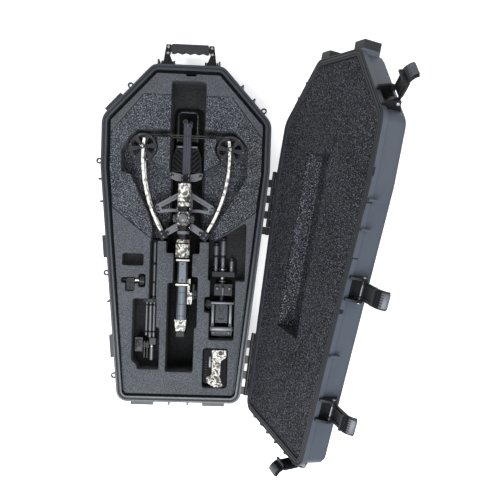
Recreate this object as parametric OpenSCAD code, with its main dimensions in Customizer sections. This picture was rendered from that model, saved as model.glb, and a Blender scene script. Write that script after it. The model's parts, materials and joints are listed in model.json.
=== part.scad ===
// Hard transport case with a reverse-draw crossbow and its accessories in cut foam.
// Millimetres. The case lies on its back: +Z up, +Y towards the carry handle, +X towards the lid hinge.
// The origin is the centre of the base's underside. Everything is drawn at the rest pose, with the lid open.

/* [Case] */
// Length over the rim
case_len = 1030; // [1010:1:1060]
// Half width of the short head end
head_half_w = 106; // [100:1:112]
// Half width at the shoulders
shoulder_half_w = 257; // [252:1:262]
// Half width at the foot end
foot_half_w = 188; // [184:1:196]
// Height of the base, floor to rim
base_h = 130; // [130:1:140]
// Depth of the lid, rim to back
lid_h = 72; // [70:1:80]
// Shell wall thickness
wall = 4; // [3:0.5:5]
// Width of the rim flange
rim_w = 17; // [15:1:19]
// Angle that the lid stands open at rest
lid_open = 110; // [90:1:118]

/* [Foam] */
// Height of the foam's top face
foam_top = 124; // [122:1:126]
// Thickness of the upper insert
insert_t = 62; // [61:1:64]
// Height of the limb bay's floor
bay_floor = 66; // [65:0.5:66]

/* [Latches] */
// Width of a latch lever
latch_w = 44; // [40:1:48]
// Angle that the levers on the long side stand open at rest
side_latch_open = 95; // [85:1:110]
// Angle of the lever on the head slope
slope_latch_open = 80; // [70:1:100]
// Angle of the foot lever far from the hinge, which hangs nearly shut
far_latch_open = 10; // [5:1:20]
// Angle of the foot lever near the hinge, which is thrown right back
near_latch_open = 155; // [140:1:158]

/* [Crossbow] */
// Height of the bowstring
string_z = 100; // [99:0.5:101]
// Height of the scope's axis
scope_z = 143; // [142:0.5:146]
// Distance of a cam's axle from the centre line
cam_x = 134.5; // [133:0.5:136]
// Distance of a cam's axle ahead of the origin
cam_y = 267; // [265:0.5:269]
// Radius of a cam
cam_r = 42; // [41:0.5:43]

/* [Hidden] */
$fn = 48;

gap = 0.5;                       // clearance of loose pieces
run = 0.05;                      // radial running clearance of a pin
head_y = case_len / 2;
shoulder_hi = head_y - 164;      // upper and lower ends of the straight shoulder
shoulder_lo = head_y - 315;
body_inset = 6;                  // the wall stands this far inside the rim
lid_top = base_h + lid_h;

function unit(v) = v / norm(v);
// Moves each edge of a counterclockwise outline inwards by d
function inset(p, d) = [for (i = [0:len(p) - 1])
    let (a = p[(i + len(p) - 1) % len(p)], b = p[i], c = p[(i + 1) % len(p)], u = unit(b - a),
         v = unit(c - b), nu = [-u.y, u.x], nv = [-v.y, v.x]) b + (nu + nv) * d / (1 + nu * nv)];
function wrap(a) = a > 180 ? a - 360 : a < -180 ? a + 360 : a;
function fillet(a, b, c, r, n) =
    let (u = unit(a - b), v = unit(c - b), half = acos(u * v) / 2, o = b + unit(u + v) * r / sin(half),
         s = b + u * r / tan(half) - o, e = b + v * r / tan(half) - o,
         a0 = atan2(s.y, s.x), turn = wrap(atan2(e.y, e.x) - a0))
    [for (i = [0:n]) o + r * [cos(a0 + turn * i / n), sin(a0 + turn * i / n)]];
// Rounds every corner of an outline, each with its own radius
function rounded(p, r, n = 6) = [for (i = [0:len(p) - 1])
    each fillet(p[(i + len(p) - 1) % len(p)], p[i], p[(i + 1) % len(p)], is_list(r) ? r[i] : r, n)];
function mirrored(p) = concat(p, [for (i = [len(p) - 1:-1:0]) [-p[i].x, p[i].y]]);

corners = mirrored([[foot_half_w, -head_y], [shoulder_half_w, shoulder_lo],
    [shoulder_half_w, shoulder_hi], [head_half_w, head_y]]);
corner_r = [34, 220, 52, 38, 38, 52, 220, 34];
function case_outline(d) = rounded(inset(corners, d), [for (r = corner_r) max(r - d, 6)]);

module prism(d, z0, z1) translate([0, 0, z0]) linear_extrude(z1 - z0) polygon(case_outline(d));
module slab(points, z0, z1, r = 0) translate([0, 0, z0]) linear_extrude(z1 - z0)
    polygon(r > 0 ? rounded(points, r) : points);
module box(x0, x1, y0, y1, z0, z1) translate([x0, y0, z0]) cube([x1 - x0, y1 - y0, z1 - z0]);
function rect(x0, x1, y0, y1) = [[x0, y0], [x1, y0], [x1, y1], [x0, y1]];
module along_x(x0, x1, y, z, r) translate([x0, y, z]) rotate([0, 90, 0]) cylinder(r = r, h = x1 - x0);
module along_y(x, y0, y1, z, r, r2 = 0) translate([x, y0, z]) rotate([-90, 0, 0])
    cylinder(r1 = r, r2 = r2 > 0 ? r2 : r, h = y1 - y0);
module along_z(x, y, z0, z1, r) translate([x, y, z0]) cylinder(r = r, h = z1 - z0);
module both_sides() { children(); mirror([1, 0, 0]) children(); }

// ---- Hinge line, along the tapered side ------------------------------------------------------
taper_lo = [foot_half_w, -head_y];
taper_hi = [shoulder_half_w, shoulder_lo];
taper_dir = unit(taper_hi - taper_lo);
taper_angle = atan2(taper_dir.y, taper_dir.x) - 90;
hinge_out = 15;                  // the pin's distance outside the rim
hinge_foot = taper_lo + hinge_out * [taper_dir.y, -taper_dir.x];
knuckle_r = 6.5;
pin_r = 2.5;
knuckle_l = 24.2;
hinge_starts = [30, 528];        // where each hinge begins, along the taper from the foot
hinge_knuckles = 8;

// Draws children with +Y along the pin and the origin at its foot end
module at_hinge() translate([hinge_foot.x, hinge_foot.y, base_h]) rotate([0, 0, taper_angle]) children();
// Turns a piece of the closed lid to the rest pose
module opened() translate([hinge_foot.x, hinge_foot.y, base_h])
    rotate(a = lid_open, v = [taper_dir.x, taper_dir.y, 0])
    translate([-hinge_foot.x, -hinge_foot.y, -base_h]) children();

// Every second knuckle, with a leaf reaching in to the rim below (side -1) or above (side 1)
module knuckles(first, side) at_hinge() for (s = hinge_starts) {
    difference() {
        for (i = [first:2:hinge_knuckles - 1]) {
            translate([0, s + i * knuckle_l + 0.3, 0]) rotate([-90, 0, 0])
                cylinder(r = knuckle_r, h = knuckle_l - 0.6);
            translate([-hinge_out - 1, s + i * knuckle_l + 0.3, side > 0 ? 2 : -9])
                cube([hinge_out + 1, knuckle_l - 0.6, 7]);
        }
        translate([0, s - 1, 0]) rotate([-90, 0, 0])
            cylinder(r = pin_r + run, h = hinge_knuckles * knuckle_l + 2);
    }
}
module base_hinge_knuckles() color("black") difference() {
    knuckles(0, -1);
    prism(-gap, base_h - 60, base_h + 60);
}
module lid_hinge_knuckles() color("black") opened() difference() {
    knuckles(1, 1);
    prism(-gap, base_h - 60, base_h + 60);
}
module hinge_pins() color("silver") at_hinge() for (s = hinge_starts)
    translate([0, s, 0]) rotate([-90, 0, 0]) cylinder(r = pin_r, h = hinge_knuckles * knuckle_l);

// ---- Shell furniture --------------------------------------------------------------------------
// A frame on the outside wall: origin on the rim edge at p, +Y outwards, +X along the wall
module on_wall(p, angle, z) translate([p.x, p.y, z]) rotate([0, 0, angle]) children();
function side_x(y) = taper_lo.x + (y - taper_lo.y) * (taper_hi.x - taper_lo.x) / (taper_hi.y - taper_lo.y);
head_dir = unit([head_half_w, head_y] - [shoulder_half_w, shoulder_hi]);
head_angle = atan2(head_dir.y, head_dir.x);
function on_head_slope(t) = [shoulder_half_w, shoulder_hi] + t * head_dir;
// [point on the rim, turn that brings +Y to face outwards] for the left side, the head slope and the ends
function left_spot(y) = y > shoulder_lo ? [[-shoulder_half_w, y], 90] : [[-side_x(y), y], 90 - taper_angle];
function left_slope_spot(t) = [[-on_head_slope(t).x, on_head_slope(t).y], 180 - head_angle];
function right_slope_spot(t) = [on_head_slope(t), head_angle - 180];
function foot_spot(x) = [[x, -head_y], 180];

ear_spots = [left_slope_spot(128), left_spot(218), left_spot(-123), left_spot(-440), right_slope_spot(44)];
ear_r = 9;
ear_hole_r = 4.5;
ear_z = [106, 114];
rib_spots = [left_spot(163), left_spot(95), left_spot(-210), right_slope_spot(142), right_slope_spot(88),
    foot_spot(-30), foot_spot(27)];

module ear_solid() for (e = ear_spots) on_wall(e[0], e[1], 0) {
    along_z(0, ear_r - 1, ear_z[0], ear_z[1], ear_r);
    box(-ear_r, ear_r, -body_inset - 2, ear_r - 1, ear_z[0], ear_z[1]);
}
module ear_holes() for (e = ear_spots) on_wall(e[0], e[1], 0)
    along_z(0, ear_r - 1, ear_z[0] - 1, ear_z[1] + 1, ear_hole_r);
module ribs(z0, z1, reach, spots) for (s = spots) on_wall(s[0], s[1], 0)
    box(-2.5, 2.5, -body_inset - 2, reach, z0, z1);

floor_step = 5;                  // the floor's edge stands this far inside the wall
module base_shell() color("slategray") difference() {
    union() {
        prism(0, base_h - 18, base_h);
        prism(body_inset, 12, base_h - 17);
        prism(body_inset + floor_step, 4, 13);
        ear_solid();
        ribs(58, base_h - 4, 10, rib_spots);
        both_sides() box(90, 95, head_y - 8, head_y + 15, 70, base_h - 4);
        floor_ridges(0, 5);
    }
    prism(body_inset + wall, 18, base_h - 10);
    prism(body_inset + floor_step + wall, 4 + wall, 19);
    prism(rim_w, base_h - 11, base_h + 1);
    // gasket groove
    difference() {
        prism(6, base_h - 4, base_h + 1);
        prism(11, base_h - 5, base_h + 2);
    }
    ear_holes();
    along_y(8, head_y - 40, head_y + 5, 96, 9);
}
// Ridges that the case stands on, and that stiffen its back
module floor_ridges(z0, z1) for (x = [-120, -60, 0, 60, 120]) box(x - 9, x + 9, -430, 330, z0, z1);
module rim_gasket() color("black") difference() {
    prism(6.5, base_h - 3.8, base_h - 0.3);
    prism(10.5, base_h - 5, base_h + 1);
}
module relief_valve() color("black") difference() {
    union() {
        along_y(8, head_y - 22, head_y - body_inset, 96, 8.95);
        along_y(8, head_y - body_inset, head_y - body_inset + 5, 96, 13);
        along_y(8, head_y - 22, head_y - body_inset - wall, 96, 12);
    }
    along_y(8, head_y - 30, head_y - 9, 96, 3);
}

// ---- Latches -----------------------------------------------------------------------------------
latch_spots = [left_slope_spot(56), left_spot(-42), left_spot(-347), foot_spot(-112), foot_spot(107)];
pivot_z = base_h + 38;           // the lever's pivot on the closed lid
pivot_out = 13;
hook_r = 50;                     // the hook's face is an arc round the pivot
latch_open = [slope_latch_open, side_latch_open, side_latch_open, far_latch_open, near_latch_open];
ear_gap = latch_w / 2 + 1;

// A [y, z] outline on a latch, extruded across it
module across(p, x0, x1) translate([x0, 0, 0]) rotate([90, 0, 90]) linear_extrude(x1 - x0) polygon(p);
module pivot_disc(x0, x1, r) along_x(x0, x1, pivot_out, pivot_z, r);

// A ledge that the hook swings in under, between two cheeks
module latch_keepers() color("dimgray") difference() {
    for (s = latch_spots) on_wall(s[0], s[1], 0) {
        intersection() {
            box(-latch_w / 2 - 12, latch_w / 2 + 12, -2, 10.5, base_h - 16, base_h - 4);
            pivot_disc(-latch_w / 2 - 12, latch_w / 2 + 12, hook_r - 0.3);
        }
        for (x = [-latch_w / 2 - 12, latch_w / 2 + 6])
            box(x, x + 6, -body_inset - 2, 10.5, base_h - 32, base_h - 4);
    }
    prism(0, base_h - 18, base_h + 1);
    prism(body_inset, 0, base_h - 17);
}
ear_outline = [[-body_inset, base_h + 17], [0, base_h + 17], [1, base_h + 5], [9, base_h + 5],
    [20, pivot_z - 7], [20, pivot_z + 6], [12, pivot_z + 9], [-body_inset, base_h + 60]];
module latch_brackets() color("black") opened() difference() {
    for (s = latch_spots) on_wall(s[0], s[1], 0) difference() {
        union() {
            for (x = [-ear_gap - 6, ear_gap]) across(ear_outline, x, x + 6);
            box(-ear_gap, ear_gap, -body_inset - 1, -body_inset + 3, base_h + 18, base_h + 60);
        }
        pivot_disc(-40, 40, pin_r + run);
    }
    prism(body_inset - run, base_h, lid_top);
    prism(-run, base_h, base_h + 16 + run);
}
module latch_pins() color("silver") opened() for (s = latch_spots) on_wall(s[0], s[1], 0)
    pivot_disc(-ear_gap - 7.5, ear_gap + 7.5, pin_r);

// One lever, drawn closed: it hangs from the pivot with its hook under the ledge
module lever_closed() difference() {
    union() {
        pivot_disc(-latch_w / 2, latch_w / 2, 6);
        across([[14.5, pivot_z], [19, pivot_z], [20.5, base_h - 4], [19.5, base_h - 14], [21.5, base_h - 21],
            [26.5, base_h - 28], [34, base_h - 33], [32, base_h - 37], [24, base_h - 32], [18, base_h - 25],
            [14.5, base_h - 18]], -latch_w / 2, latch_w / 2);
        intersection() {
            box(-latch_w / 2 + 3, latch_w / 2 - 3, 4.5, 16, base_h - 22, base_h - 8);
            difference() {
                pivot_disc(-latch_w / 2, latch_w / 2, hook_r + 5);
                pivot_disc(-latch_w / 2 - 1, latch_w / 2 + 1, hook_r);
            }
        }
        // grip ribs on the pad's inner face, and webs behind the hook
        for (x = [-18:6:18]) across([[19, base_h - 23], [26, base_h - 30], [32.5, base_h - 34.5],
            [30.8, base_h - 38.4], [23, base_h - 34], [16.6, base_h - 26.4]], x - 1.3, x + 1.3);
        for (x = [-15, 15]) across([[15, base_h + 28], [15, base_h - 6], [11.7, base_h - 1],
            [11.7, base_h + 24]], x - 2, x + 2);
    }
    pivot_disc(-40, 40, pin_r + run);
    // window that bares the pin between two lugs
    box(-14, 14, 0, 30, pivot_z - 8, pivot_z + 8);
}
module latch_lever(i) color("gray") opened() on_wall(latch_spots[i][0], latch_spots[i][1], 0)
    translate([0, pivot_out, pivot_z]) rotate([latch_open[i], 0, 0]) translate([0, -pivot_out, -pivot_z])
    lever_closed();

// ---- Lid ----------------------------------------------------------------------------------------
trough = [-44, 84, -224, 262];   // x and y limits of the scope trough
module lid_shell() color("slategray") opened() difference() {
    union() {
        prism(0, base_h + 0.3, base_h + 16);
        prism(body_inset, base_h + 15, lid_top - 8);
        prism(body_inset + floor_step, lid_top - 9, lid_top);
        floor_ridges(lid_top - 1, lid_top + 3);
        // guards on both sides of the handle
        for (x = [-86, 86]) box(x - 22, x + 22, head_y - 12, head_y + 22, base_h + 8, base_h + 56);
        ribs(base_h + 2, base_h + 30, 9, rib_spots);
    }
    prism(body_inset + wall, base_h + 9, lid_top - 12);
    prism(body_inset + floor_step + wall, lid_top - 13, lid_top - wall);
    prism(rim_w, base_h - 1, base_h + 10);
    // fine grooves on both sides of the sealing face
    for (d = [3.5, 11.5]) difference() {
        prism(d, base_h - 1, base_h + 3);
        prism(d + 2, base_h - 2, base_h + 4);
    }
    // hollows in the guards
    for (x = [-86, 86]) box(x - 17, x + 17, head_y + 2, head_y + 17, base_h + 13, base_h + 60);
}
module lid_foam() color("dimgray") opened() difference() {
    union() {
        prism(rim_w + gap, base_h + 3, base_h + 10);
        prism(body_inset + wall + gap, base_h + 9 + gap, lid_top - 12 - gap);
        prism(body_inset + floor_step + wall + gap, lid_top - 13, lid_top - wall - gap);
    }
    slab(rect(trough[0], trough[1], trough[2], trough[3]), base_h - 1, base_h + 54, 3);
}

// ---- Carry handle -------------------------------------------------------------------------------
handle_y = head_y + 13;
handle_z = 86;
arm_outline = [[52, 0], [82, 0], [74, 58], [59, 58], [59, 40], [63, 27]];
bar_y = handle_y + 47;
module handle_frame() color("black") difference() {
    union() {
        both_sides() along_x(52, 82, handle_y, handle_z, 8);
        both_sides() slab([for (p = arm_outline) p + [0, handle_y]], handle_z - 7, handle_z + 7);
        box(-60, 60, bar_y - 4, bar_y + 4, handle_z - 4, handle_z + 4);
    }
    along_x(-100, 100, handle_y, handle_z, pin_r + run);
    both_sides() along_z(67, bar_y + 3, handle_z - 10, handle_z + 10, 2.2);
    both_sides() along_z(68.5, bar_y - 16, handle_z - 10, handle_z + 10, 2.2);
}
finger_waves = [for (i = [0:54]) let (x = -58.5 + i * 117 / 54) [x, 34.5 - 1.9 * cos(x * 360 / 26)]];
module handle_grip() color("dimgray") difference() {
    slab([for (p = concat(finger_waves, [[58.5, 54], [54, 59], [-54, 59], [-58.5, 54]])) p + [0, handle_y]],
        handle_z - 11, handle_z + 11);
    box(-70, 70, bar_y - 4.2, bar_y + 4.2, handle_z - 4.2, handle_z + 4.2);
}
module handle_screws() color("silver") both_sides() for (p = [[67, bar_y + 3], [68.5, bar_y - 16]]) {
    along_z(p.x, p.y, handle_z - 8, handle_z + 7, 2);
    along_z(p.x, p.y, handle_z + 7, handle_z + 9, 4);
}
module handle_brackets() color("black") {
    both_sides() for (x = [46, 83]) difference() {
        union() {
            along_x(x, x + 5, handle_y, handle_z, 9);
            box(x, x + 5, head_y - body_inset, handle_y, handle_z - 9, handle_z + 9);
        }
        along_x(x - 1, x + 6, handle_y, handle_z, pin_r + run);
    }
    both_sides() along_x(46, 88, handle_y, handle_z, pin_r);
}

// ---- Foam ---------------------------------------------------------------------------------------
insert_outline = [[97.5, -15], [219, 77], [232, 200], [232, 303], [134, 425], [-134, 425], [-232, 303],
    [-232, 200], [-219, 77], [-98, -15]];
slot = rect(-50, 55, 30, 468);
bay_left = [[-45, 190], [-104, 225], [-90, 296], [-45, 297], [-45, 320], [-152, 317], [-197, 254],
    [-196, 188], [-167, 181], [-107, 58], [-97, 18], [-97, -20], [-40, -20]];
bay_right = [[50, 192], [104, 226], [90, 297], [50, 298], [50, 321], [146, 321], [188, 276], [188, 181],
    [112, 56], [97, 24], [97, -20], [40, -20]];
tripod_bay = [[78, -137], [192, -137], [191, 45], [98, -16.5], [78, -16.5]];
tripod_head_bay = [[86, -136], [163, -136], [163, -321], [86, -321], [86, -236], [69.5, -236],
    [69.5, -188], [86, -188]];
monopod_bay = [[-149, -199], [-77, -199], [-77, -287], [-66, -287], [-65, -417], [-132, -417], [-132, -405],
    [-149, -388]];
module pocket(points, floor_z, r = 4) slab(points, floor_z, base_h + 20, r);

// Everything cut down into the lower foam
module pockets() {
    pocket(slot, 62, 9);
    pocket(rect(-45, 48, 36, 398), 16, 14);
    pocket(rect(-97, 97, -20, 20), bay_floor, 2);
    pocket(rect(-52, 50, -57, 40), 14);
    pocket(rect(-29, 29, -150, -50), 12);
    pocket(rect(-45, 40, -423, -148), 12, 5);
    pocket(rect(20, 48, -286, -128), 46);
    pocket(rect(-101, -79, -203, -16.5), 70);
    pocket(monopod_bay, 54);
    pocket(rect(-185, -120, -98, -61), 78, 5);
    pocket(rect(-187, -130, -152, -135), 96, 2);
    pocket(rect(-174, -146, -177, -134), 92, 2);
    pocket(rect(-134, -113, -164, -123), 86, 6);
    pocket(tripod_bay, 58);
    pocket(rect(78, 166, -137, -69), 44, 3);
    pocket(tripod_head_bay, 44);
    pocket(rect(70, 147, -469, -347), 84, 8);
}
module base_foam() color("gray") difference() {
    union() {
        prism(body_inset + floor_step + wall + gap, 4 + wall + gap, 19);
        prism(body_inset + wall + gap, 18 + gap, base_h - 10 - gap);
        prism(rim_w + 1.2, base_h - 13, foam_top);
    }
    slab(insert_outline, foam_top - insert_t, base_h);
    pockets();
    // relief for the valve
    box(-8, 24, head_y - 32, head_y, 78, base_h);
}
module insert_foam() color("dimgray") difference() {
    slab(inset(insert_outline, gap), foam_top - insert_t + gap, foam_top);
    pocket(slot, 14, 9);
    pocket(bay_left, bay_floor, 3);
    pocket(bay_right, bay_floor, 3);
    pocket(rect(-97, 97, -20, 20), bay_floor, 2);
    both_sides() along_z(cam_x, cam_y, bay_floor, base_h, cam_r + 5);
    slab(rect(-52, 50, -57, 40), 0, base_h);
}

// ---- Crossbow -----------------------------------------------------------------------------------
rail_half = 11.5;
limb_r = 454;                    // radius of the limbs' curve
limb_cx = cam_x - 2 - limb_r;    // its centre, left of the right limb
limb_cy = 240;
limb_root_angle = -32.6;
limb_t = 8;
limb_h = 12;
limb_upper = string_z + 8.5;     // undersides of the upper and lower limbs
limb_lower = string_z - 30;
riser_top = string_z + 10;
axle_r = 5;
cable_z = [string_z - 11.6, string_z - 8.4];
module_r = 33;                   // radius of a cam's cable drum
drum_h = 9;

module bow_rail() color("dimgray") difference() {
    union() {
        box(-rail_half, rail_half, 60.5, 334, 74, string_z - 2);
        box(-rail_half + 3, rail_half - 3, 60.5, 340, 66, 75);
        along_y(0, 320, 344, 84, 9);
        // clamp block at the tip, with its two bosses
        box(-13, 14, 332, 346, 78, 90);
        along_z(-7.5, 350, 78, 94, 7.5);
        along_z(10, 346, 78, 92, 5);
    }
    along_y(0, 50, 350, string_z - 1, 3.2);
    both_sides() box(rail_half - 3, rail_half + 1, 100, 292, 84, 90);
    // passage for the cables
    box(-20, 20, cam_y + module_r - 2, cam_y + module_r + 5, cable_z[0] - 3, cable_z[1] + 3);
}
stirrup_z = string_z - 20;
stirrup_r = 4.5;
stirrup_x = 31;
stirrup_y = 382;
bend_r = 14;
module bow_stirrup() color("black") {
    both_sides() {
        along_y(stirrup_x, 290, stirrup_y - bend_r, stirrup_z, stirrup_r);
        translate([stirrup_x - bend_r, stirrup_y - bend_r, stirrup_z]) rotate_extrude(angle = 90)
            translate([bend_r, 0]) circle(r = stirrup_r);
        along_y(stirrup_x, 304, 358, stirrup_z, 6);
        along_y(stirrup_x, 312, 318, stirrup_z, 7.5);
        box(rail_half, stirrup_x, 292, 300, stirrup_z - 5, stirrup_z + 3.5);
    }
    along_x(-stirrup_x + bend_r, stirrup_x - bend_r, stirrup_y, stirrup_z, stirrup_r);
}
fin_outline = [[rail_half, 195], [47, 195], [44, 240], [32, 276], [rail_half, 276]];
module bow_foregrip() color("black") both_sides() difference() {
    slab(fin_outline, 72, 91);
    difference() {
        slab(inset(fin_outline, 3.5), 76, 92);
        for (i = [-2:5]) translate([rail_half, 188 + i * 15.5, 70]) rotate([0, 0, 42]) cube([60, 4.5, 25]);
        box(rail_half, 47, 262, 266, 70, 95);
    }
}
module bow_front_bridge() color("silver") both_sides() difference() {
    slab([[rail_half, 166], [30, 167], [48, 175], [51, 191], [40, 193], [rail_half, 187]], 84, 95);
    along_z(44, 184, 80, 100, 2.5);
}
truss_bolts = [[84, 83], [80, 72.5]];
truss_outline = [[12, 69], [40, 71], [76, 66], [86, 68], [92, 84], [86, 92], [19, 131], [12, 131]];
rest_outline = [[86.4, 68], [95, 63.5], [102, 82], [92.4, 85]];
rear_bolt = [50, 7];
module bow_riser() color("gray") difference() {
    union() {
        box(-19, 19, 66, 140, string_z - 1.6, riser_top);
        both_sides() slab(truss_outline, riser_top - 11, riser_top);
    }
    both_sides() slab([[23, 79], [44, 79.5], [70, 76], [73, 84], [23, 112]], 90, riser_top + 1, 2);
    both_sides() slab([[21.2, 119], [71.4, 89.8], [73.6, 93.7], [23.5, 122.9]], riser_top - 4, riser_top + 1);
    along_y(0, 50, 150, string_z - 1, 3.2);
    both_sides() for (p = truss_bolts) along_z(p.x, p.y, 90, 120, 2.1);
}
// Pads at the truss ends that the limbs bear on
module limb_rests() both_sides() difference() {
    slab(rest_outline, limb_lower, limb_upper + limb_h);
    limb(limb_lower - 1, limb_t + 2 * run, limb_upper + limb_h - limb_lower + 2);
    slab(truss_outline, riser_top - 11, riser_top);
}
module bow_rear_arms() color("silver") difference() {
    both_sides() difference() {
        slab([[17.5, 34], [24, 36], [64, 11], [70, 2], [60, -8], [50, -3], [17.5, 16]], riser_top - 12,
            riser_top);
        along_z(rear_bolt.x, rear_bolt.y, 90, 120, 2.6);
    }
    limb_blocks();
}
module limb(z0, t, h) translate([limb_cx, limb_cy, 0]) rotate([0, 0, limb_root_angle])
    rotate_extrude(angle = 6.6 - limb_root_angle, $fn = 96) translate([limb_r - t / 2, z0]) square([t, h]);
module bow_limbs() color("white") both_sides() difference() {
    union() {
        limb(limb_upper, limb_t, limb_h);
        limb(limb_lower, limb_t, limb_h);
    }
    along_z(cam_x, cam_y, 60, 130, axle_r + run);
}
// Blocks at the limb roots, turned to the limbs' own direction
limb_root = [limb_cx + limb_r * cos(limb_root_angle), limb_cy + limb_r * sin(limb_root_angle)];
module at_limb_root() translate([limb_root.x, limb_root.y, 0]) rotate([0, 0, limb_root_angle]) children();
module limb_blocks() both_sides() at_limb_root() box(-9, 13, -9, 18, limb_lower - 2.5, foam_top);
module bow_limb_pockets() color("black") {
    limb_rests();
    difference() {
        limb_blocks();
        both_sides() at_limb_root() {
            for (z = [limb_lower, limb_upper]) box(-4.6, 4.4, -0.5, 20, z - 0.5, z + limb_h + 0.5);
            box(-10, 6, 2, 20, limb_lower + limb_h + 4, limb_upper - 4);
        }
    }
}
module bow_cam_axles() color("silver") both_sides() along_z(cam_x, cam_y, limb_lower - 2, foam_top, axle_r);

// One cam on the right: spoked wheel with the string's groove above a drum for the cables
spoke_gap = [[13.5, -3.2], [33, -10.5], [36, 0], [33, 10.5], [13.5, 3.2]];
module cam() translate([cam_x, cam_y, 0]) difference() {
    union() {
        cylinder(r = cam_r, h = 12);
        translate([0, 0, -drum_h]) cylinder(r = module_r, h = drum_h + 0.5);
    }
    translate([0, 0, -20]) cylinder(r = axle_r + run, h = 40);
    // string groove
    translate([0, 0, 3.8]) difference() {
        cylinder(r = cam_r + 2, h = 4.4);
        translate([0, 0, -1]) cylinder(r = cam_r - 5, h = 7);
    }
    for (a = [20:60:320]) rotate([0, 0, a]) translate([0, 0, -20]) linear_extrude(40)
        polygon(rounded(spoke_gap, 1.5, 3));
    // the face is sunk inside a raised rim
    translate([0, 0, 10]) difference() {
        cylinder(r = cam_r - 4, h = 3);
        translate([0, 0, -1]) cylinder(r = 10, h = 5);
    }
}
module bow_cam_right() color("dimgray") translate([0, 0, string_z - 6]) cam();
module bow_cam_left() color("dimgray") mirror([1, 0, 0]) translate([0, 0, string_z - 6]) cam();

// A cord that runs straight between the two cams and on round each of them
module cord(r, z, t) {
    along_x(-cam_x, cam_x, cam_y + r, z, t);
    both_sides() translate([cam_x, cam_y, z]) rotate([0, 0, -80]) rotate_extrude(angle = 170)
        translate([r, 0]) circle(r = t, $fn = 24);
}
module bow_string() color("tan") {
    cord(cam_r - 2.5, string_z, 1.5);
    for (z = cable_z) cord(module_r + 1.5, z, 1.4);
}
trigger_y = -36;
trigger_z = 70;
module bow_receiver() color("dimgray") difference() {
    union() {
        box(-16, 16, -66, 60, 56, 98);
        box(-9, 9, -62, 56, 98, 108);
    }
    box(-4.5, 4.5, -60, -24, 50, 80);
    box(-20, 20, -20, -8, 86, 92);
    along_x(-20, 20, trigger_y, trigger_z, pin_r + run);
}
module bow_trigger() color("silver") difference() {
    union() {
        along_x(-3.5, 3.5, trigger_y, trigger_z, 5);
        across([[trigger_y - 4, trigger_z], [trigger_y - 1, 50], [trigger_y + 8, 37], [trigger_y + 11, 38],
            [trigger_y + 5, 52], [trigger_y + 4, trigger_z]], -3, 3);
    }
    along_x(-5, 5, trigger_y, trigger_z, pin_r + run);
}
module bow_safety() color("darkred") box(-18.5, 18.5, -18.5, -13.5, 87, 91);
module bow_pistol_grip() color("black") {
    across(rounded([[-58, 55.9], [-90, 55.9], [-100, 20], [-92, 16], [-70, 20], [-63, 44]], 3, 3), -13, 13);
    // trigger guard
    difference() {
        across([[-4, 55.9], [-62, 55.9], [-66, 26], [-12, 26], [-4, 34]], -6, 6);
        across([[-7.5, 57], [-60, 57], [-62.5, 29.5], [-14, 29.5], [-7.5, 36]], -7, 7);
    }
}
stock_x = -1;                    // the stock's own centre line
module bow_stock() color("dimgray") difference() {
    union() {
        box(stock_x - 16, stock_x + 16, -262, -66.1, 78, 108);
        box(stock_x - 12, stock_x + 12, -262, -66.1, 58, 78.1);
        slab([[-22, -262], [-16, -299], [10, -299], [14, -262]], 40, 108, 3);
    }
    box(stock_x - 6, stock_x + 6, -250, -110, 50, 70);
    for (x = [stock_x - 18, stock_x + 13]) for (y = [-100:-14:-128]) box(x, x + 5, y - 3, y + 3, 84, 102);
}
module bow_cheekpiece() color("lightsteelblue") {
    slab([[-13, -147], [11, -147], [11, -82], [-13, -82]], 108, 115, 2);
    intersection() {
        along_y(stock_x, -262, -158, 100, 16.5);
        box(-30, 30, -270, -150, 108, 120);
    }
}
module bow_stock_bands() color("white") for (y = [-80, -156]) difference() {
    box(stock_x - 20, stock_x + 20, y, y + 5, 78, 118);
    box(stock_x - 16.1, stock_x + 16.1, y - 1, y + 6, 70, 115.4);
}
module bow_butt_pad() color("black") slab(rect(-17, 11, -317, -299), 34, 108, 4);
crank_y = -194;
crank_z = 96;
module bow_crank_housing() color("white") difference() {
    union() {
        box(15, 24, -150.8, -136, 84, 106);
        box(15, 22, -182, -156.3, 84, 106);
        slab(rect(15, 30, -214, -178), 82, 108, 3);
    }
    along_x(16, 40, crank_y, crank_z, 3 + run);
}
// Lever with a round grip on its side, on a shaft whose end shows
module bow_crank_lever() color("black") {
    along_x(17, 46, crank_y, crank_z, 3);
    across(rounded([[-201, 90], [-150, 92], [-150, 101], [-201, 102]], 4), 31, 37);
    along_x(36.9, 44.5, -179, crank_z, 10.5);
}
module bow_screws() color("silver") {
    both_sides() {
        along_z(44, 184, 84, 95, 2.45);
        along_z(44, 184, 95, 96.5, 4);
        for (p = truss_bolts) {
            along_z(p.x, p.y, riser_top - 10, riser_top, 2);
            along_z(p.x, p.y, riser_top, riser_top + 2, 3.4);
        }
        along_z(rear_bolt.x, rear_bolt.y, riser_top - 11, riser_top, 2.5);
        along_z(rear_bolt.x, rear_bolt.y, riser_top, riser_top + 2, 4);
    }
    along_x(-16.8, 16.8, trigger_y, trigger_z, pin_r);
}

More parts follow.
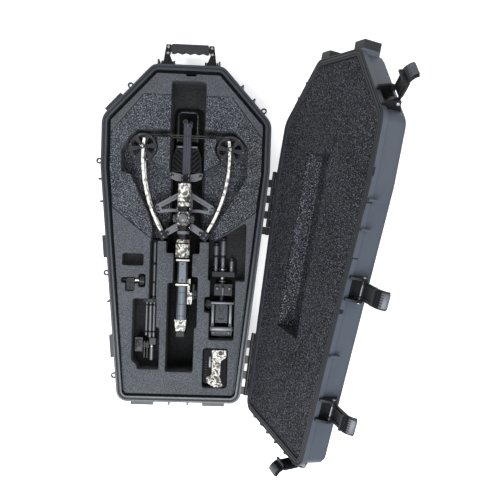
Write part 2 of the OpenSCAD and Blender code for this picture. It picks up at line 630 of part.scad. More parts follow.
// ---- Scope --------------------------------------------------------------------------------------
tube_r = 15;
turret_y = 50;
module scope_tube() color("black") difference() {
    union() {
        along_y(0, -22, 92, scope_z, tube_r);
        along_z(0, turret_y, scope_z, scope_z + 19, 13);
        along_x(-20, 20, turret_y, scope_z, 11);
    }
    along_y(0, -30, 100, scope_z, 12.5);
    along_z(0, turret_y, scope_z + 10, scope_z + 30, 4);
    along_x(-30, 30, turret_y, scope_z, 4);
}
saddle_outline = [[-11, -21], [11, -21], [19, -13], [19, 13], [11, 21], [-11, 21], [-19, 13], [-19, -13]];
module scope_housings() color("white") {
    // saddle round the turrets
    difference() {
        slab([for (p = saddle_outline) p + [0, turret_y]], scope_z - 10, scope_z + 17.5);
        along_y(0, 20, 80, scope_z, tube_r + 0.02);
        along_z(0, turret_y, scope_z, scope_z + 20, 13 + run);
        along_x(-20, 20, turret_y, scope_z, 11 + run);
    }
    difference() {
        union() {
            along_y(0, 92, 157, scope_z, 19);
            along_y(0, 86, 92.1, scope_z, 16, 19);
        }
        along_y(0, 80, 160, scope_z, tube_r + 0.02);
    }
    difference() {
        union() {
            along_y(0, -67, -21, scope_z, 21);
            along_y(0, -21.1, -14, scope_z, 21, 16.5);
        }
        along_y(0, -70, 0, scope_z, tube_r + 0.02);
    }
}
module scope_lenses() color("steelblue") {
    along_y(0, 146, 149, scope_z, tube_r);
    along_y(0, -62, -59, scope_z, tube_r);
}
module scope_rings() color("black") {
    for (y = [75, 18]) difference() {
        union() {
            along_y(0, y, y + 9, scope_z, 18.5);
            box(-12, 12, y, y + 9, riser_top + 1, scope_z - 10);
        }
        along_y(0, y - 1, y + 10, scope_z, tube_r + 0.02);
    }
    // the base runs from the receiver to the riser
    box(-12, 12, 14, 92, riser_top, riser_top + 8);
}
// A dial on the +Z axis with a knurled side, its foot on the origin
module dial(r, h) difference() {
    cylinder(r = r, h = h);
    for (a = [0:20:340]) rotate([0, 0, a]) translate([r + 0.9, 0, 1]) cylinder(r = 1.6, h = h - 2.5);
    translate([0, 0, h - 1.2]) difference() {
        cylinder(r = r - 2.3, h = 2);
        translate([0, 0, -1]) cylinder(r = r - 4.3, h = 4);
    }
}
module scope_elevation_knob() color("gray") translate([0, turret_y, scope_z + 19.2]) dial(12.5, 11.8);
module scope_windage_knob() color("dimgray") translate([20.2, turret_y, scope_z]) rotate([0, 90, 0])
    dial(11.5, 11);
module scope_focus_knob() color("dimgray") translate([-20.2, turret_y, scope_z]) rotate([0, -90, 0])
    dial(11.5, 11);
module scope_power_ring() color("silver") difference() {
    along_y(0, 2.5, 12, scope_z, 18);
    along_y(0, 0, 15, scope_z, tube_r + run);
    for (a = [0:15:345]) translate([0, 0, scope_z]) rotate([0, a, 0]) along_y(18.6, 4, 10.5, 0, 1.2);
}

// ---- Accessories --------------------------------------------------------------------------------
range_outline = [[73, -350], [144, -350], [144, -466], [106, -466], [88, -455], [73, -455]];
// raised spine that runs from the front right round to the back left
range_spine = [[100, -351], [143, -351], [143, -370], [119, -378], [118, -438], [129, -465], [107, -465],
    [84, -451], [84, -438], [105, -428], [102, -380]];
module rangefinder_body() color("white") difference() {
    union() {
        slab(range_outline, 85, 121, 6);
        slab(range_spine, 120, 127, 2);
    }
    for (l = range_lenses) along_y(l.x, -352, -345, 104, l[1]);
}
range_lenses = [[124, 12], [93, 9]];
module rangefinder_lenses() color("steelblue") {
    for (l = range_lenses) along_y(l.x, -352, -349.5, 104, l[1] - run);
    along_y(121, -467.4, -466, 104, 10);
}
// Folded legs [x, lower end, upper end], two of them with a thick sleeve further up
legs = [[100, -112, -24], [122, -101, -8], [150, -112, -70]];
module tripod_legs() color("gray") for (l = legs) {
    along_y(l.x, l[1], l[2], 70, 6.5);
    if (l[2] > -60) along_y(l.x, -66, l[2], 70, 8);
}
module tripod_head() color("black") {
    // shoulder that the legs fold from, and the collar of the centre column
    box(89, 160, -127, -112, 56, 84);
    along_y(122, -112.1, -101, 72, 11.5);
    along_y(122, -150, -126.9, 72, 9.5);
    // pan housing with two clamp screws and the column's end
    box(98, 154, -186, -150, 60, 84);
    for (x = [107, 145]) along_z(x, -164, 84, 90, 5.5);
    along_y(125, -190, -156, 86, 4);
    along_y(122, -206, -186, 74, 9);
    // yoke: top rail, two side bars, plate with a waisted recess, and the lower crossbar
    box(87, 162, -213, -205, 58, 92);
    for (x = [90.5, 146]) box(x, x + 10, -285, -212, 62, 89);
    difference() {
        box(104, 142, -273, -212, 66, 80);
        slab([[114, -262], [130, -262], [130, -254], [125.5, -246], [125.5, -236], [130, -228], [130, -220],
            [114, -220], [114, -228], [118.5, -236], [118.5, -246], [114, -254]], 74, 81);
    }
    box(88, 159, -297, -284, 58, 94);
    box(92, 157, -315, -297, 62, 82);
    for (x = [99, 147]) along_z(x, -304, 82, 88, 5.5);
    // side knob
    along_x(71.5, 88, -214, 78, 16);
}
module monopod_tubes() color("dimgray") {
    along_y(-90, -200, -20, 90, 4.5);
    along_y(-111, -318, -213.1, 84, 3.5);
    along_y(-99, -325, -213.1, 84, 5);
    along_y(-87.5, -325, -213.1, 84, 4);
    along_y(-92.5, -395, -345, 84, 6);
}
module monopod_clamp() color("black") {
    // T joint with a round boss at each end
    box(-116, -84, -213, -202, 78, 92);
    for (x = [-115.5, -84.5]) along_z(x, -206.5, 77, 96, 6);
    // quick clamp: a box with a dial, and two cheeks beside it
    box(-142, -118, -366, -322, 70, 102);
    along_z(-130, -345, 102, 105, 7.5);
    box(-118.1, -100, -356, -340, 74, 90);
    for (x = [-115, -106]) box(x, x + 3.5, -386, -334, 72, 98);
    box(-99, -79, -345, -325.1, 76, 94);
    box(-106, -98, -345, -338, 76, 88);
}
module knob_tool() color("black") {
    along_x(-185, -131, -143.5, 105, 5);
    along_x(-149, -131, -143.5, 105, 7.5);
    box(-172, -148, -174.5, -136, 94, 113);
    translate([-131, -143.5, 105]) rotate([0, 90, 0]) dial(17.5, 15);
}

base_shell();
rim_gasket();
base_foam();
insert_foam();
base_hinge_knuckles();
hinge_pins();
latch_keepers();
handle_brackets();
relief_valve();
lid_shell();
lid_foam();
lid_hinge_knuckles();
latch_brackets();
latch_pins();
latch_lever(0);  // latch_lever_1
latch_lever(1);  // latch_lever_2
latch_lever(2);  // latch_lever_3
latch_lever(3);  // latch_lever_4
latch_lever(4);  // latch_lever_5
handle_frame();
handle_grip();
handle_screws();
bow_rail();
bow_stirrup();
bow_foregrip();
bow_front_bridge();
bow_riser();
bow_rear_arms();
bow_limbs();
bow_limb_pockets();
bow_cam_axles();
bow_string();
bow_receiver();
bow_pistol_grip();
bow_stock();
bow_cheekpiece();
bow_stock_bands();
bow_butt_pad();
bow_crank_housing();
bow_screws();
bow_trigger();
bow_safety();
bow_cam_left();
bow_cam_right();
bow_crank_lever();
scope_tube();
scope_housings();
scope_lenses();
scope_rings();
scope_elevation_knob();
scope_windage_knob();
scope_focus_knob();
scope_power_ring();
rangefinder_body();
rangefinder_lenses();
tripod_legs();
tripod_head();
monopod_tubes();
monopod_clamp();
knob_tool();
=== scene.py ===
import json
import math

import bmesh
import bpy
import numpy as np
from mathutils import Matrix, Vector
from mathutils.geometry import convex_hull_2d


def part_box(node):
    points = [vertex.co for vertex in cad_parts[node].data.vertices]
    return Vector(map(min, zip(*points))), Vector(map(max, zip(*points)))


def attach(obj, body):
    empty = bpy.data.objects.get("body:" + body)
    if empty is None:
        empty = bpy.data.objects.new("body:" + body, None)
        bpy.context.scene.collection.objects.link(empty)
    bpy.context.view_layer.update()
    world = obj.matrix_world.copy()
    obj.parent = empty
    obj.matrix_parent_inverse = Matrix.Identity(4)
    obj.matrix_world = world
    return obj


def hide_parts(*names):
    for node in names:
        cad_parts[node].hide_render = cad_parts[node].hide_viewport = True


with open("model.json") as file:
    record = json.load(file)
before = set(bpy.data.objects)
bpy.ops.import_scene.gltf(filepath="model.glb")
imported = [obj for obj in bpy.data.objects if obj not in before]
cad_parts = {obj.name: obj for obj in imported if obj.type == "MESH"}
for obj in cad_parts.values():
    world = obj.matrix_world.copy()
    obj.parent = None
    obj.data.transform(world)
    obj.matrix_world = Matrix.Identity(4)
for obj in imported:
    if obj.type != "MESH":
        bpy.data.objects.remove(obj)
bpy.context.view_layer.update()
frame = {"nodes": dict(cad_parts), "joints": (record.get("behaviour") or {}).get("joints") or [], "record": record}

NODES = frame["nodes"]
MM = 0.001
UP = Vector((0, 0, 1))
SMOOTH_ANGLE = math.radians(32)


def box_mm(node):
    """Low and high corners of a node's box, in millimetres."""
    low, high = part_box(node)
    return low / MM, high / MM


def middle(node):
    """Centre of a node's box."""
    low, high = box_mm(node)
    return (low + high) / 2


# ---- Materials ---------------------------------------------------------------------------------
def srgb(r, g, b):
    """Linear colour of an 8-bit screen colour."""
    def linear(c):
        return ((c / 255 + 0.055) / 1.055) ** 2.4 if c > 10 else c / 255 / 12.92
    return (linear(r), linear(g), linear(b), 1.0)


class Graph:
    """A material's node tree, with short calls to add and join nodes."""

    def __init__(self, name):
        self.material = bpy.data.materials.new(name)
        self.material.use_nodes = True
        self.tree = self.material.node_tree
        self.tree.nodes.clear()
        self.coords = self.add("ShaderNodeTexCoord").outputs["Object"]

    def add(self, kind, props=None, **inputs):
        """A new node. Inputs are given by name, with spaces as underscores."""
        node = self.tree.nodes.new(kind)
        for key, value in (props or {}).items():
            setattr(node, key, value)
        for key, value in inputs.items():
            self.put(node.inputs[key.replace("_", " ")], value)
        return node

    def put(self, socket, value):
        """Joins another node's output to the socket, or sets its value."""
        if isinstance(value, bpy.types.NodeSocket):
            self.tree.links.new(value, socket)
        else:
            socket.default_value = value

    def math(self, op, a, b=0.0, clamp=False):
        node = self.add("ShaderNodeMath", {"operation": op, "use_clamp": clamp})
        self.put(node.inputs[0], a)
        self.put(node.inputs[1], b)
        return node.outputs[0]

    def mix(self, factor, a, b, blend="MIX"):
        node = self.add("ShaderNodeMix", {"data_type": "RGBA", "blend_type": blend})
        self.put(node.inputs[0], factor)
        self.put(node.inputs[6], a)
        self.put(node.inputs[7], b)
        return node.outputs[2]

    def noise(self, scale, detail=3.0, rough=0.5, distortion=0.0, coords=None):
        node = self.add("ShaderNodeTexNoise", Vector=coords or self.coords, Scale=scale, Detail=detail,
                        Roughness=rough, Distortion=distortion)
        return node.outputs["Fac"]

    def cells(self, scale, feature="F1", smooth=0.4, coords=None):
        node = self.add("ShaderNodeTexVoronoi", {"feature": feature}, Vector=coords or self.coords,
                        Scale=scale)
        if feature == "SMOOTH_F1":
            node.inputs["Smoothness"].default_value = smooth
        return node.outputs["Distance"]

    def ramp(self, factor, stops, hard=False):
        """Colours at positions from 0 to 1, blended or with hard edges."""
        node = self.add("ShaderNodeValToRGB", Fac=factor)
        ramp = node.color_ramp
        ramp.interpolation = "CONSTANT" if hard else "LINEAR"
        while len(ramp.elements) < len(stops):
            ramp.elements.new(0.5)
        for element, (position, colour) in zip(ramp.elements, stops):
            element.position = position
            element.color = colour
        return node.outputs["Color"]

    def span(self, value, low, high, to_low=0.0, to_high=1.0):
        """Maps one range of values to another, and holds it at the ends."""
        node = self.add("ShaderNodeMapRange", {"clamp": True}, Value=value)
        for i, v in enumerate((low, high, to_low, to_high)):
            node.inputs[i + 1].default_value = v
        return node.outputs[0]

    def turned(self, matrix):
        """Coordinates after a rigid move."""
        return self.add("ShaderNodeMapping", Vector=self.coords, Location=matrix.translation,
                        Rotation=matrix.to_euler("XYZ")).outputs[0]

    def height_of(self, coords):
        return self.add("ShaderNodeSeparateXYZ", Vector=coords).outputs["Z"]

    def length_of(self, coords):
        return self.add("ShaderNodeSeparateXYZ", Vector=coords).outputs["Y"]

    def stretched(self, scale):
        return self.add("ShaderNodeMapping", Vector=self.coords, Scale=scale).outputs[0]

    def edges(self, radius):
        """A mask that is 1 on convex and concave edges, and the normal that rounds them."""
        bevel = self.add("ShaderNodeBevel", {"samples": 4}, Radius=radius)
        flat = self.add("ShaderNodeNewGeometry").outputs["Normal"]
        dot = self.add("ShaderNodeVectorMath", {"operation": "DOT_PRODUCT"})
        self.put(dot.inputs[0], bevel.outputs[0])
        self.put(dot.inputs[1], flat)
        return self.span(dot.outputs["Value"], 0.985, 0.85), bevel.outputs[0]

    def finish(self, colour, rough, metal=0.0, height=None, depth=0.0, normal=None, **principled):
        """Closes the tree with a surface shader, and a bump from the height given."""
        shader = self.add("ShaderNodeBsdfPrincipled", Base_Color=colour, Roughness=rough, Metallic=metal,
                          **principled)
        if height is not None:
            bump = self.add("ShaderNodeBump", Height=height, Distance=depth, Strength=1.0)
            if normal is not None:
                self.put(bump.inputs["Normal"], normal)
            self.put(shader.inputs["Normal"], bump.outputs[0])
        out = self.add("ShaderNodeOutputMaterial")
        self.tree.links.new(shader.outputs[0], out.inputs[0])
        return self.material


def moulded(name, colour, rough=0.5, vary=0.16, grain=1400, depth=0.00012, wear=0.35, worn=None, edge=0.0014,
            rim=None, shine=0.45):
    """Moulded plastic: a fine leathery grain, cloudy colour, rubbed edges and a few scuffs. With a rim,
    the sealing face (where the move given brings a point to the rim's height) and the handle's guards
    are dark."""
    g = Graph(name)
    cloud = g.noise(14, 5, 0.6)
    fine = g.noise(grain, 2, 0.6)
    scuff = g.span(g.noise(60, 6, 0.7, coords=g.stretched((1, 0.25, 1))), 0.60, 0.72)
    dark = tuple(c * (1 - vary) for c in colour[:3]) + (1,)
    light = tuple(min(c * (1 + vary), 1) for c in colour[:3]) + (1,)
    base = g.mix(cloud, dark, light)
    base = g.mix(g.span(fine, 0.35, 0.7, 0, 0.22), base, light)
    mask, normal = g.edges(edge)
    patchy = g.math("MULTIPLY", mask, g.span(g.noise(90, 4, 0.7), 0.35, 0.6))
    worn = worn or tuple(min(c * 2.2 + 0.02, 1) for c in colour[:3]) + (1,)
    base = g.mix(g.math("MULTIPLY", patchy, wear), base, worn)
    base = g.mix(g.math("MULTIPLY", scuff, 0.10), base, worn)
    roughness = g.math("ADD", g.span(cloud, 0.2, 0.8, rough - 0.06, rough + 0.08),
                       g.span(fine, 0.3, 0.7, -0.05, 0.07))
    if rim is not None:
        closed = g.turned(rim)
        off = g.math("ABSOLUTE", g.math("SUBTRACT", g.height_of(closed), RIM_HEIGHT * MM))
        guards = g.span(g.length_of(closed), (HEAD_Y + 1) * MM, (HEAD_Y + 2) * MM)
        dark_part = g.math("MAXIMUM", g.span(off, 0.0035, 0.0028), guards)
        base = g.mix(g.math("MULTIPLY", dark_part, 0.9), base, SEAL_TONE)
        roughness = g.math("ADD", roughness, g.math("MULTIPLY", dark_part, 0.2))
    height = g.math("ADD", fine, g.math("MULTIPLY", scuff, -0.6))
    return g.finish(base, roughness, 0.0, height, depth, normal, Specular_IOR_Level=shine)


def metal(name, colour, rough=0.35, metallic=1.0, brushed=(1, 12, 1), wear=0.5, worn=(0.6, 0.6, 0.6, 1),
          edge=0.0009):
    """Machined or anodised metal: brush lines along one axis, cloudy tone and bright worn edges."""
    g = Graph(name)
    cloud = g.noise(22, 4, 0.6)
    coords = g.stretched(brushed)
    brush = g.noise(700, 3, 0.7, coords=coords)
    dark = tuple(c * 0.78 for c in colour[:3]) + (1,)
    light = tuple(min(c * 1.25, 1) for c in colour[:3]) + (1,)
    base = g.mix(g.span(brush, 0.3, 0.7), g.mix(cloud, dark, colour), light)
    mask, normal = g.edges(edge)
    patchy = g.math("MULTIPLY", mask, g.span(g.noise(160, 4, 0.7), 0.4, 0.6))
    base = g.mix(g.math("MULTIPLY", patchy, wear), base, worn)
    roughness = g.math("ADD", g.span(brush, 0.3, 0.7, rough - 0.07, rough + 0.09),
                       g.span(cloud, 0.3, 0.7, -0.04, 0.06))
    return g.finish(base, roughness, metallic, brush, 0.00004, normal)


def foam(name, low, high, pebble, depth, gloss=0.9, glint_share=0.3, glint_tone=None, floor=None, shine=0.4,
         painted_wall_light=None):
    """Closed-cell foam: rounded pebbles over fine open pores. Painted shade darkens the gaps between pebbles,
    painted light brightens their tops and painted glints sit on the highest. With a floor (height, tone), painted
    shade darkens the cut faces down to it. The last argument (move, x, z, gain) paints light on what lies beyond
    x and z after the move: the wall of a recess that faces the light."""
    g = Graph(name)
    warped = g.add("ShaderNodeVectorMath", {"operation": "ADD"})
    g.put(warped.inputs[0], g.coords)
    wobble = g.add("ShaderNodeTexNoise", Vector=g.coords, Scale=pebble * 0.9)
    scaled = g.add("ShaderNodeVectorMath", {"operation": "SCALE"})
    g.put(scaled.inputs[0], wobble.outputs["Color"])
    scaled.inputs["Scale"].default_value = 0.45 / pebble
    g.put(warped.inputs[1], scaled.outputs[0])
    lump = g.cells(pebble, "SMOOTH_F1", 0.5, warped.outputs[0])
    pores = g.cells(pebble * 5.5, "F1")
    cloud = g.noise(9, 4, 0.6)
    relief = g.math("ADD", g.span(lump, 0.05, 0.7, 1.0, 0.0), g.span(pores, 0.0, 0.5, -0.16, 0.12))
    # Painted shade in the gaps and painted light on the tops, taken from the relief, over a cloudy random tone
    tone = g.math("ADD", g.span(relief, 0.1, 1.0, 0.0, 0.75), g.span(cloud, 0.3, 0.7, 0.0, 0.25))
    top = g.span(relief, 0.45, 0.85)
    # Painted glints: bright flecks of colour on the highest pebbles
    painted_glints = g.math("MULTIPLY", g.span(g.noise(pebble * 1.3, 2, 0.6), 0.50, 0.60), top)
    bright = glint_tone or tuple(min(c * 2.0, 1) for c in high[:3]) + (1,)
    base = g.mix(g.math("MULTIPLY", painted_glints, glint_share), g.mix(tone, low, high), bright)
    # Painted shade: the cut faces darken with depth, as the deep pockets fall into shadow
    if floor is not None:
        shade = g.span(g.height_of(g.coords), floor[0] * MM, (FOAM_HEIGHT - 3) * MM)
        shade = g.span(g.math("POWER", shade, 1.7), 0, 1, floor[1], 1.0)
        grey = g.add("ShaderNodeCombineColor", Red=shade, Green=shade, Blue=shade).outputs[0]
        base = g.mix(1.0, base, grey, "MULTIPLY")
    # Painted light: the hinge-side wall of a recess is brightened as if it caught the light
    if painted_wall_light is not None:
        move, x, z, light_gain = painted_wall_light
        moved = g.add("ShaderNodeSeparateXYZ", Vector=g.turned(move)).outputs
        inside = g.math("MULTIPLY", g.span(moved["X"], x * MM, (x + 1.5) * MM),
                        g.span(moved["Z"], z * MM, (z + 4) * MM))
        base = g.mix(inside, base, g.mix(1.0, base, (light_gain, light_gain, light_gain, 1), "MULTIPLY"))
    return g.finish(base, g.span(relief, 0, 1, 0.97, gloss), 0.0, relief, depth, None,
                    Specular_IOR_Level=shine)


def camo(name, stops, scale, rough=0.42, dark=srgb(66, 60, 54), marks=0.75, above=None, saddle=None,
         coat=0.2, shine=0.5):
    """Snow camouflage film: hard-edged patches of a few tones, with small dark bark marks. With a height, the
    film covers only what stands above it, and the rest is black. The saddle's range along Y is darker."""
    g = Graph(name)
    base = g.ramp(g.noise(scale, 2.0, 0.5, 0.35), stops, hard=True)
    bark = g.span(g.noise(scale * 1.7, 3, 0.6, 0.5, g.stretched((1.7, 0.7, 1))), 0.60, 0.61)
    base = g.mix(g.math("MULTIPLY", bark, marks), base, dark)
    base = g.mix(g.span(g.noise(500, 2), 0.3, 0.7, 0.0, 0.12), base, dark)
    mask, normal = g.edges(0.0008)
    base = g.mix(g.math("MULTIPLY", mask, 0.25), base, srgb(225, 222, 214))
    if saddle is not None:
        half = (saddle[1] - saddle[0]) / 2 * MM
        from_middle = g.math("ABSOLUTE", g.math("SUBTRACT", g.length_of(g.coords), sum(saddle) / 2 * MM))
        inside = g.span(from_middle, half, half - 0.0005)
        patches = g.span(g.noise(120, 1.5, 0.4), 0.57, 0.58, 0.93, 0.25)
        base = g.mix(g.math("MULTIPLY", inside, patches), base, srgb(22, 23, 25))
    if above is not None:
        base = g.mix(g.span(g.height_of(g.coords), above * MM, (above + 0.4) * MM), srgb(9, 9, 11), base)
    fine = g.noise(1600, 2)
    roughness = g.span(fine, 0.3, 0.7, rough - 0.06, rough + 0.1)
    return g.finish(base, roughness, 0.0, fine, 0.00005, normal, Coat_Weight=coat, Coat_Roughness=0.25,
                    Specular_IOR_Level=shine)


def cord(name, a, b):
    """Twisted, waxed fibre that runs across the bow."""
    g = Graph(name)
    twist = g.add("ShaderNodeTexWave", {"bands_direction": "DIAGONAL"}, Vector=g.coords, Scale=260,
                  Distortion=1.2, Detail=2).outputs["Fac"]
    fibre = g.noise(2500, 2, 0.6)
    base = g.mix(g.math("ADD", g.math("MULTIPLY", twist, 0.7), g.math("MULTIPLY", fibre, 0.3)), a, b)
    return g.finish(base, g.span(fibre, 0.3, 0.7, 0.45, 0.7), 0.0, twist, 0.0003, None, Sheen_Weight=0.2)


def coated_glass(name):
    """Dark lens glass with a blue-violet coating that shows at the rim."""
    g = Graph(name)
    facing = g.add("ShaderNodeLayerWeight", Blend=0.35).outputs["Facing"]
    smear = g.noise(45, 4, 0.6)
    base = g.mix(facing, srgb(16, 20, 34), srgb(70, 62, 120))
    return g.finish(base, g.span(smear, 0.3, 0.7, 0.03, 0.10), 0.0, smear, 0.00001, None, Coat_Weight=1.0,
                    Coat_Roughness=0.02, Specular_IOR_Level=0.8)


RIM_HEIGHT = box_mm("base_shell")[1].z     # where base and lid meet when shut
FOAM_HEIGHT = box_mm("insert_foam")[1].z
HEAD_Y = box_mm("rim_gasket")[1].y + 6      # the flat head end of the case
SEAL_TONE = srgb(16, 17, 20)
TROUGH_WALL_X = 84                          # hinge-side wall of the trough in the lid's foam, lid shut; painted light brightens it
LID_WALL = (Vector((-257, 200, 0)), Vector((-188, -515, 0)))    # the lid's free long wall, head to foot
SADDLE_SPAN = (28, 72)                      # the scope's saddle, along Y
RANGEFINDER_DECK = box_mm("rangefinder_body")[1].z - 6


def closed_lid():
    """The turn that closes the lid, so its foam and rim can be worked on square to the axes."""
    hinge = next(j for j in frame["joints"] if j["name"] == "lid_hinge")
    pivot = Vector(hinge["pos_m"])
    turn = Matrix.Rotation(math.radians(hinge["range_deg"][0]), 4, Vector(hinge["axis"]))
    return Matrix.Translation(pivot) @ turn @ Matrix.Translation(-pivot)


SNOW = [(0.0, srgb(84, 79, 72)), (0.38, srgb(140, 136, 129)), (0.43, srgb(186, 184, 178)),
        (0.475, srgb(230, 229, 224)), (0.53, srgb(168, 165, 158)), (0.57, srgb(104, 99, 92)),
        (0.63, srgb(58, 54, 50))]
CREAM = [(0.0, srgb(126, 122, 114)), (0.38, srgb(196, 193, 184)), (0.45, srgb(236, 234, 227)),
         (0.58, srgb(212, 209, 201)), (0.66, srgb(128, 124, 117))]

MATERIALS = {
    "shell": moulded("shell", srgb(42, 47, 55), 0.36, 0.14, 1100, 0.00010, 0.4, shine=0.55),
    "lid_shell": moulded("lid_shell", srgb(60, 66, 76), 0.44, 0.14, 1100, 0.00016, 0.12, rim=closed_lid()),
    "gasket": moulded("gasket", srgb(20, 20, 21), 0.6, 0.2, 2200, 0.0001, 0.15),
    # smooth_foam: painted shade darkens its pockets' faces down to 30 mm, to 0.06 of the tone
    "smooth_foam": foam("smooth_foam", srgb(54, 56, 60), srgb(88, 91, 96), 300, 0.0008, 0.75, 0.5, None,
                        (30, 0.06)),
    # Here and in lid_foam, the last colour given is the tone of the painted glints
    "pebbled_foam": foam("pebbled_foam", srgb(16, 17, 20), srgb(92, 95, 103), 300, 0.0024, 0.42, 0.9,
                         srgb(188, 192, 202)),
    # lid_foam: painted light on the hinge-side wall of its trough, 2.6 times brighter
    "lid_foam": foam("lid_foam", srgb(5, 5, 7), srgb(56, 57, 62), 270, 0.0022, 0.75, 0.85,
                     srgb(134, 136, 146), shine=0.2,
                     painted_wall_light=(closed_lid(), TROUGH_WALL_X - 2, RIM_HEIGHT + 7, 2.6)),
    # A near-black matt sheet: painted shadow in the gap between the base's foam and its rim
    "gap_shadow": moulded("gap_shadow", srgb(7, 7, 8), 0.8, 0.2, 2200, 0.0001, 0.05, shine=0.1),
    "black_plastic": moulded("black_plastic", srgb(18, 19, 21), 0.31, 0.2, 1500, 0.0001, 0.45,
                              shine=0.28),
    "dark_plastic": moulded("dark_plastic", srgb(29, 31, 35), 0.36, 0.2, 1500, 0.0001, 0.4),
    "latch_plastic": moulded("latch_plastic", srgb(17, 18, 21), 0.30, 0.2, 1300, 0.00012, 0.5,
                              shine=0.22),
    "latch_pad": moulded("latch_pad", srgb(66, 70, 76), 0.34, 0.1, 1300, 0.00012, 0.5),
    "grip_rubber": moulded("grip_rubber", srgb(34, 36, 39), 0.6, 0.18, 900, 0.0003, 0.3),
    "steel": metal("steel", srgb(186, 188, 192), 0.22, 1.0, (1, 1, 9), 0.2),
    "black_metal": metal("black_metal", srgb(34, 35, 38), 0.3, 0.7, (1, 7, 1), 0.45, srgb(140, 142, 146)),
    "rail_metal": metal("rail_metal", srgb(66, 66, 76), 0.34, 0.6, (9, 0.6, 1), 0.35, srgb(124, 125, 138)),
    "grey_metal": metal("grey_metal", srgb(98, 99, 103), 0.38, 0.5, (6, 1, 1), 0.6, srgb(196, 197, 200)),
    "cam_metal": metal("cam_metal", srgb(50, 50, 53), 0.32, 0.5, (2, 2, 9), 0.7, srgb(150, 150, 153)),
    "dark_steel": metal("dark_steel", srgb(96, 98, 101), 0.3, 1.0, (1, 1, 9), 0.3),
    "camo_limb": camo("camo_limb", CREAM, 62, 0.4, marks=0.3),
    "camo_scope": camo("camo_scope", SNOW, 72, 0.42),
    "camo_housings": camo("camo_housings", SNOW, 66, 0.42, saddle=SADDLE_SPAN),
    "camo_deck": camo("camo_deck", SNOW, 64, 0.75, above=RANGEFINDER_DECK + 0.4, coat=0.0,
                      shine=0.2),
    "cream_plastic": moulded("cream_plastic", srgb(216, 211, 198), 0.45, 0.08, 1500, 0.00006, 0.2,
                             srgb(244, 241, 232)),
    "blue_grey_plastic": moulded("blue_grey_plastic", srgb(92, 99, 108), 0.3, 0.1, 1500, 0.00006, 0.3,
                                 srgb(176, 186, 196)),
    "red_plastic": moulded("red_plastic", srgb(140, 26, 22), 0.4, 0.1, 1500, 0.00006, 0.2),
    "string_fibre": cord("string_fibre", srgb(18, 17, 17), srgb(52, 49, 46)),
    "lens": coated_glass("lens"),
}
# Nodes whose look is a variant of their slot's
LOOKS = {"lid_shell": "lid_shell", "latch_keepers": "dark_plastic", "latch_brackets": "latch_plastic",
         "hinge_pins": "dark_steel", "latch_pins": "dark_steel", "rangefinder_body": "camo_deck",
         "scope_housings": "camo_housings"}


# ---- Mesh helpers ---------------------------------------------------------------------------------
def show(name, mesh, slot, body, material=None):
    """Turns mesh data into a piece that rides on a body and takes a slot's material."""
    piece = bpy.data.objects.new(name, mesh)
    bpy.context.scene.collection.objects.link(piece)
    mesh.materials.clear()
    mesh.materials.append(MATERIALS[material or slot])
    mesh.shade_smooth()
    mesh.set_sharp_from_angle(angle=SMOOTH_ANGLE)
    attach(piece, body)
    return piece


def to_mesh(name, bm, matrix=None):
    """Moves loose mesh data, scales it to metres and makes it a mesh."""
    if matrix is not None:
        bm.transform(matrix)
    bm.transform(Matrix.Scale(MM, 4))
    bmesh.ops.recalc_face_normals(bm, faces=bm.faces)
    mesh = bpy.data.meshes.new(name)
    bm.to_mesh(mesh)
    bm.free()
    return mesh


def soften(bm, width, segments=2, angle=28):
    """Rounds the sharp edges of a mesh."""
    sharp = [e for e in bm.edges if len(e.link_faces) == 2 and e.calc_face_angle() > math.radians(angle)]
    if width > 0 and sharp:
        bmesh.ops.bevel(bm, geom=sharp, offset=width, segments=segments, profile=0.5, affect="EDGES",
                        clamp_overlap=True)


def add_box(bm, low, high, width=0.0, segments=2, turn=None):
    """Adds a box with rounded edges between two corners."""
    part = bmesh.new()
    centre = (Vector(low) + Vector(high)) / 2
    size = Vector(high) - Vector(low)
    bmesh.ops.create_cube(part, size=1.0)
    part.transform(Matrix.Diagonal((*size, 1)))
    soften(part, width, segments)
    part.transform(Matrix.Translation(centre) @ (turn or Matrix()))
    join(bm, part)


def join(bm, part):
    """Adds a part to other mesh data, and frees the part."""
    scratch = bpy.data.meshes.new("scratch")
    part.to_mesh(scratch)
    part.free()
    bm.from_mesh(scratch)
    bpy.data.meshes.remove(scratch)


def add_plate(bm, outline, z0, z1, width=0.0, segments=2, matrix=None):
    """Adds a flat outline raised from z0 to z1, with rounded edges."""
    part = bmesh.new()
    face = part.faces.new([part.verts.new((x, y, z0)) for x, y in outline])
    raised = bmesh.ops.extrude_face_region(part, geom=[face])
    top = [v for v in raised["geom"] if isinstance(v, bmesh.types.BMVert)]
    bmesh.ops.translate(part, vec=(0, 0, z1 - z0), verts=top)
    bmesh.ops.recalc_face_normals(part, faces=part.faces)
    soften(part, width, segments)
    if matrix is not None:
        part.transform(matrix)
    join(bm, part)


def stand(centre, axis):
    """The move that takes the origin to the centre and the upright to the axis."""
    return Matrix.Translation(Vector(centre)) @ UP.rotation_difference(Vector(axis)).to_matrix().to_4x4()


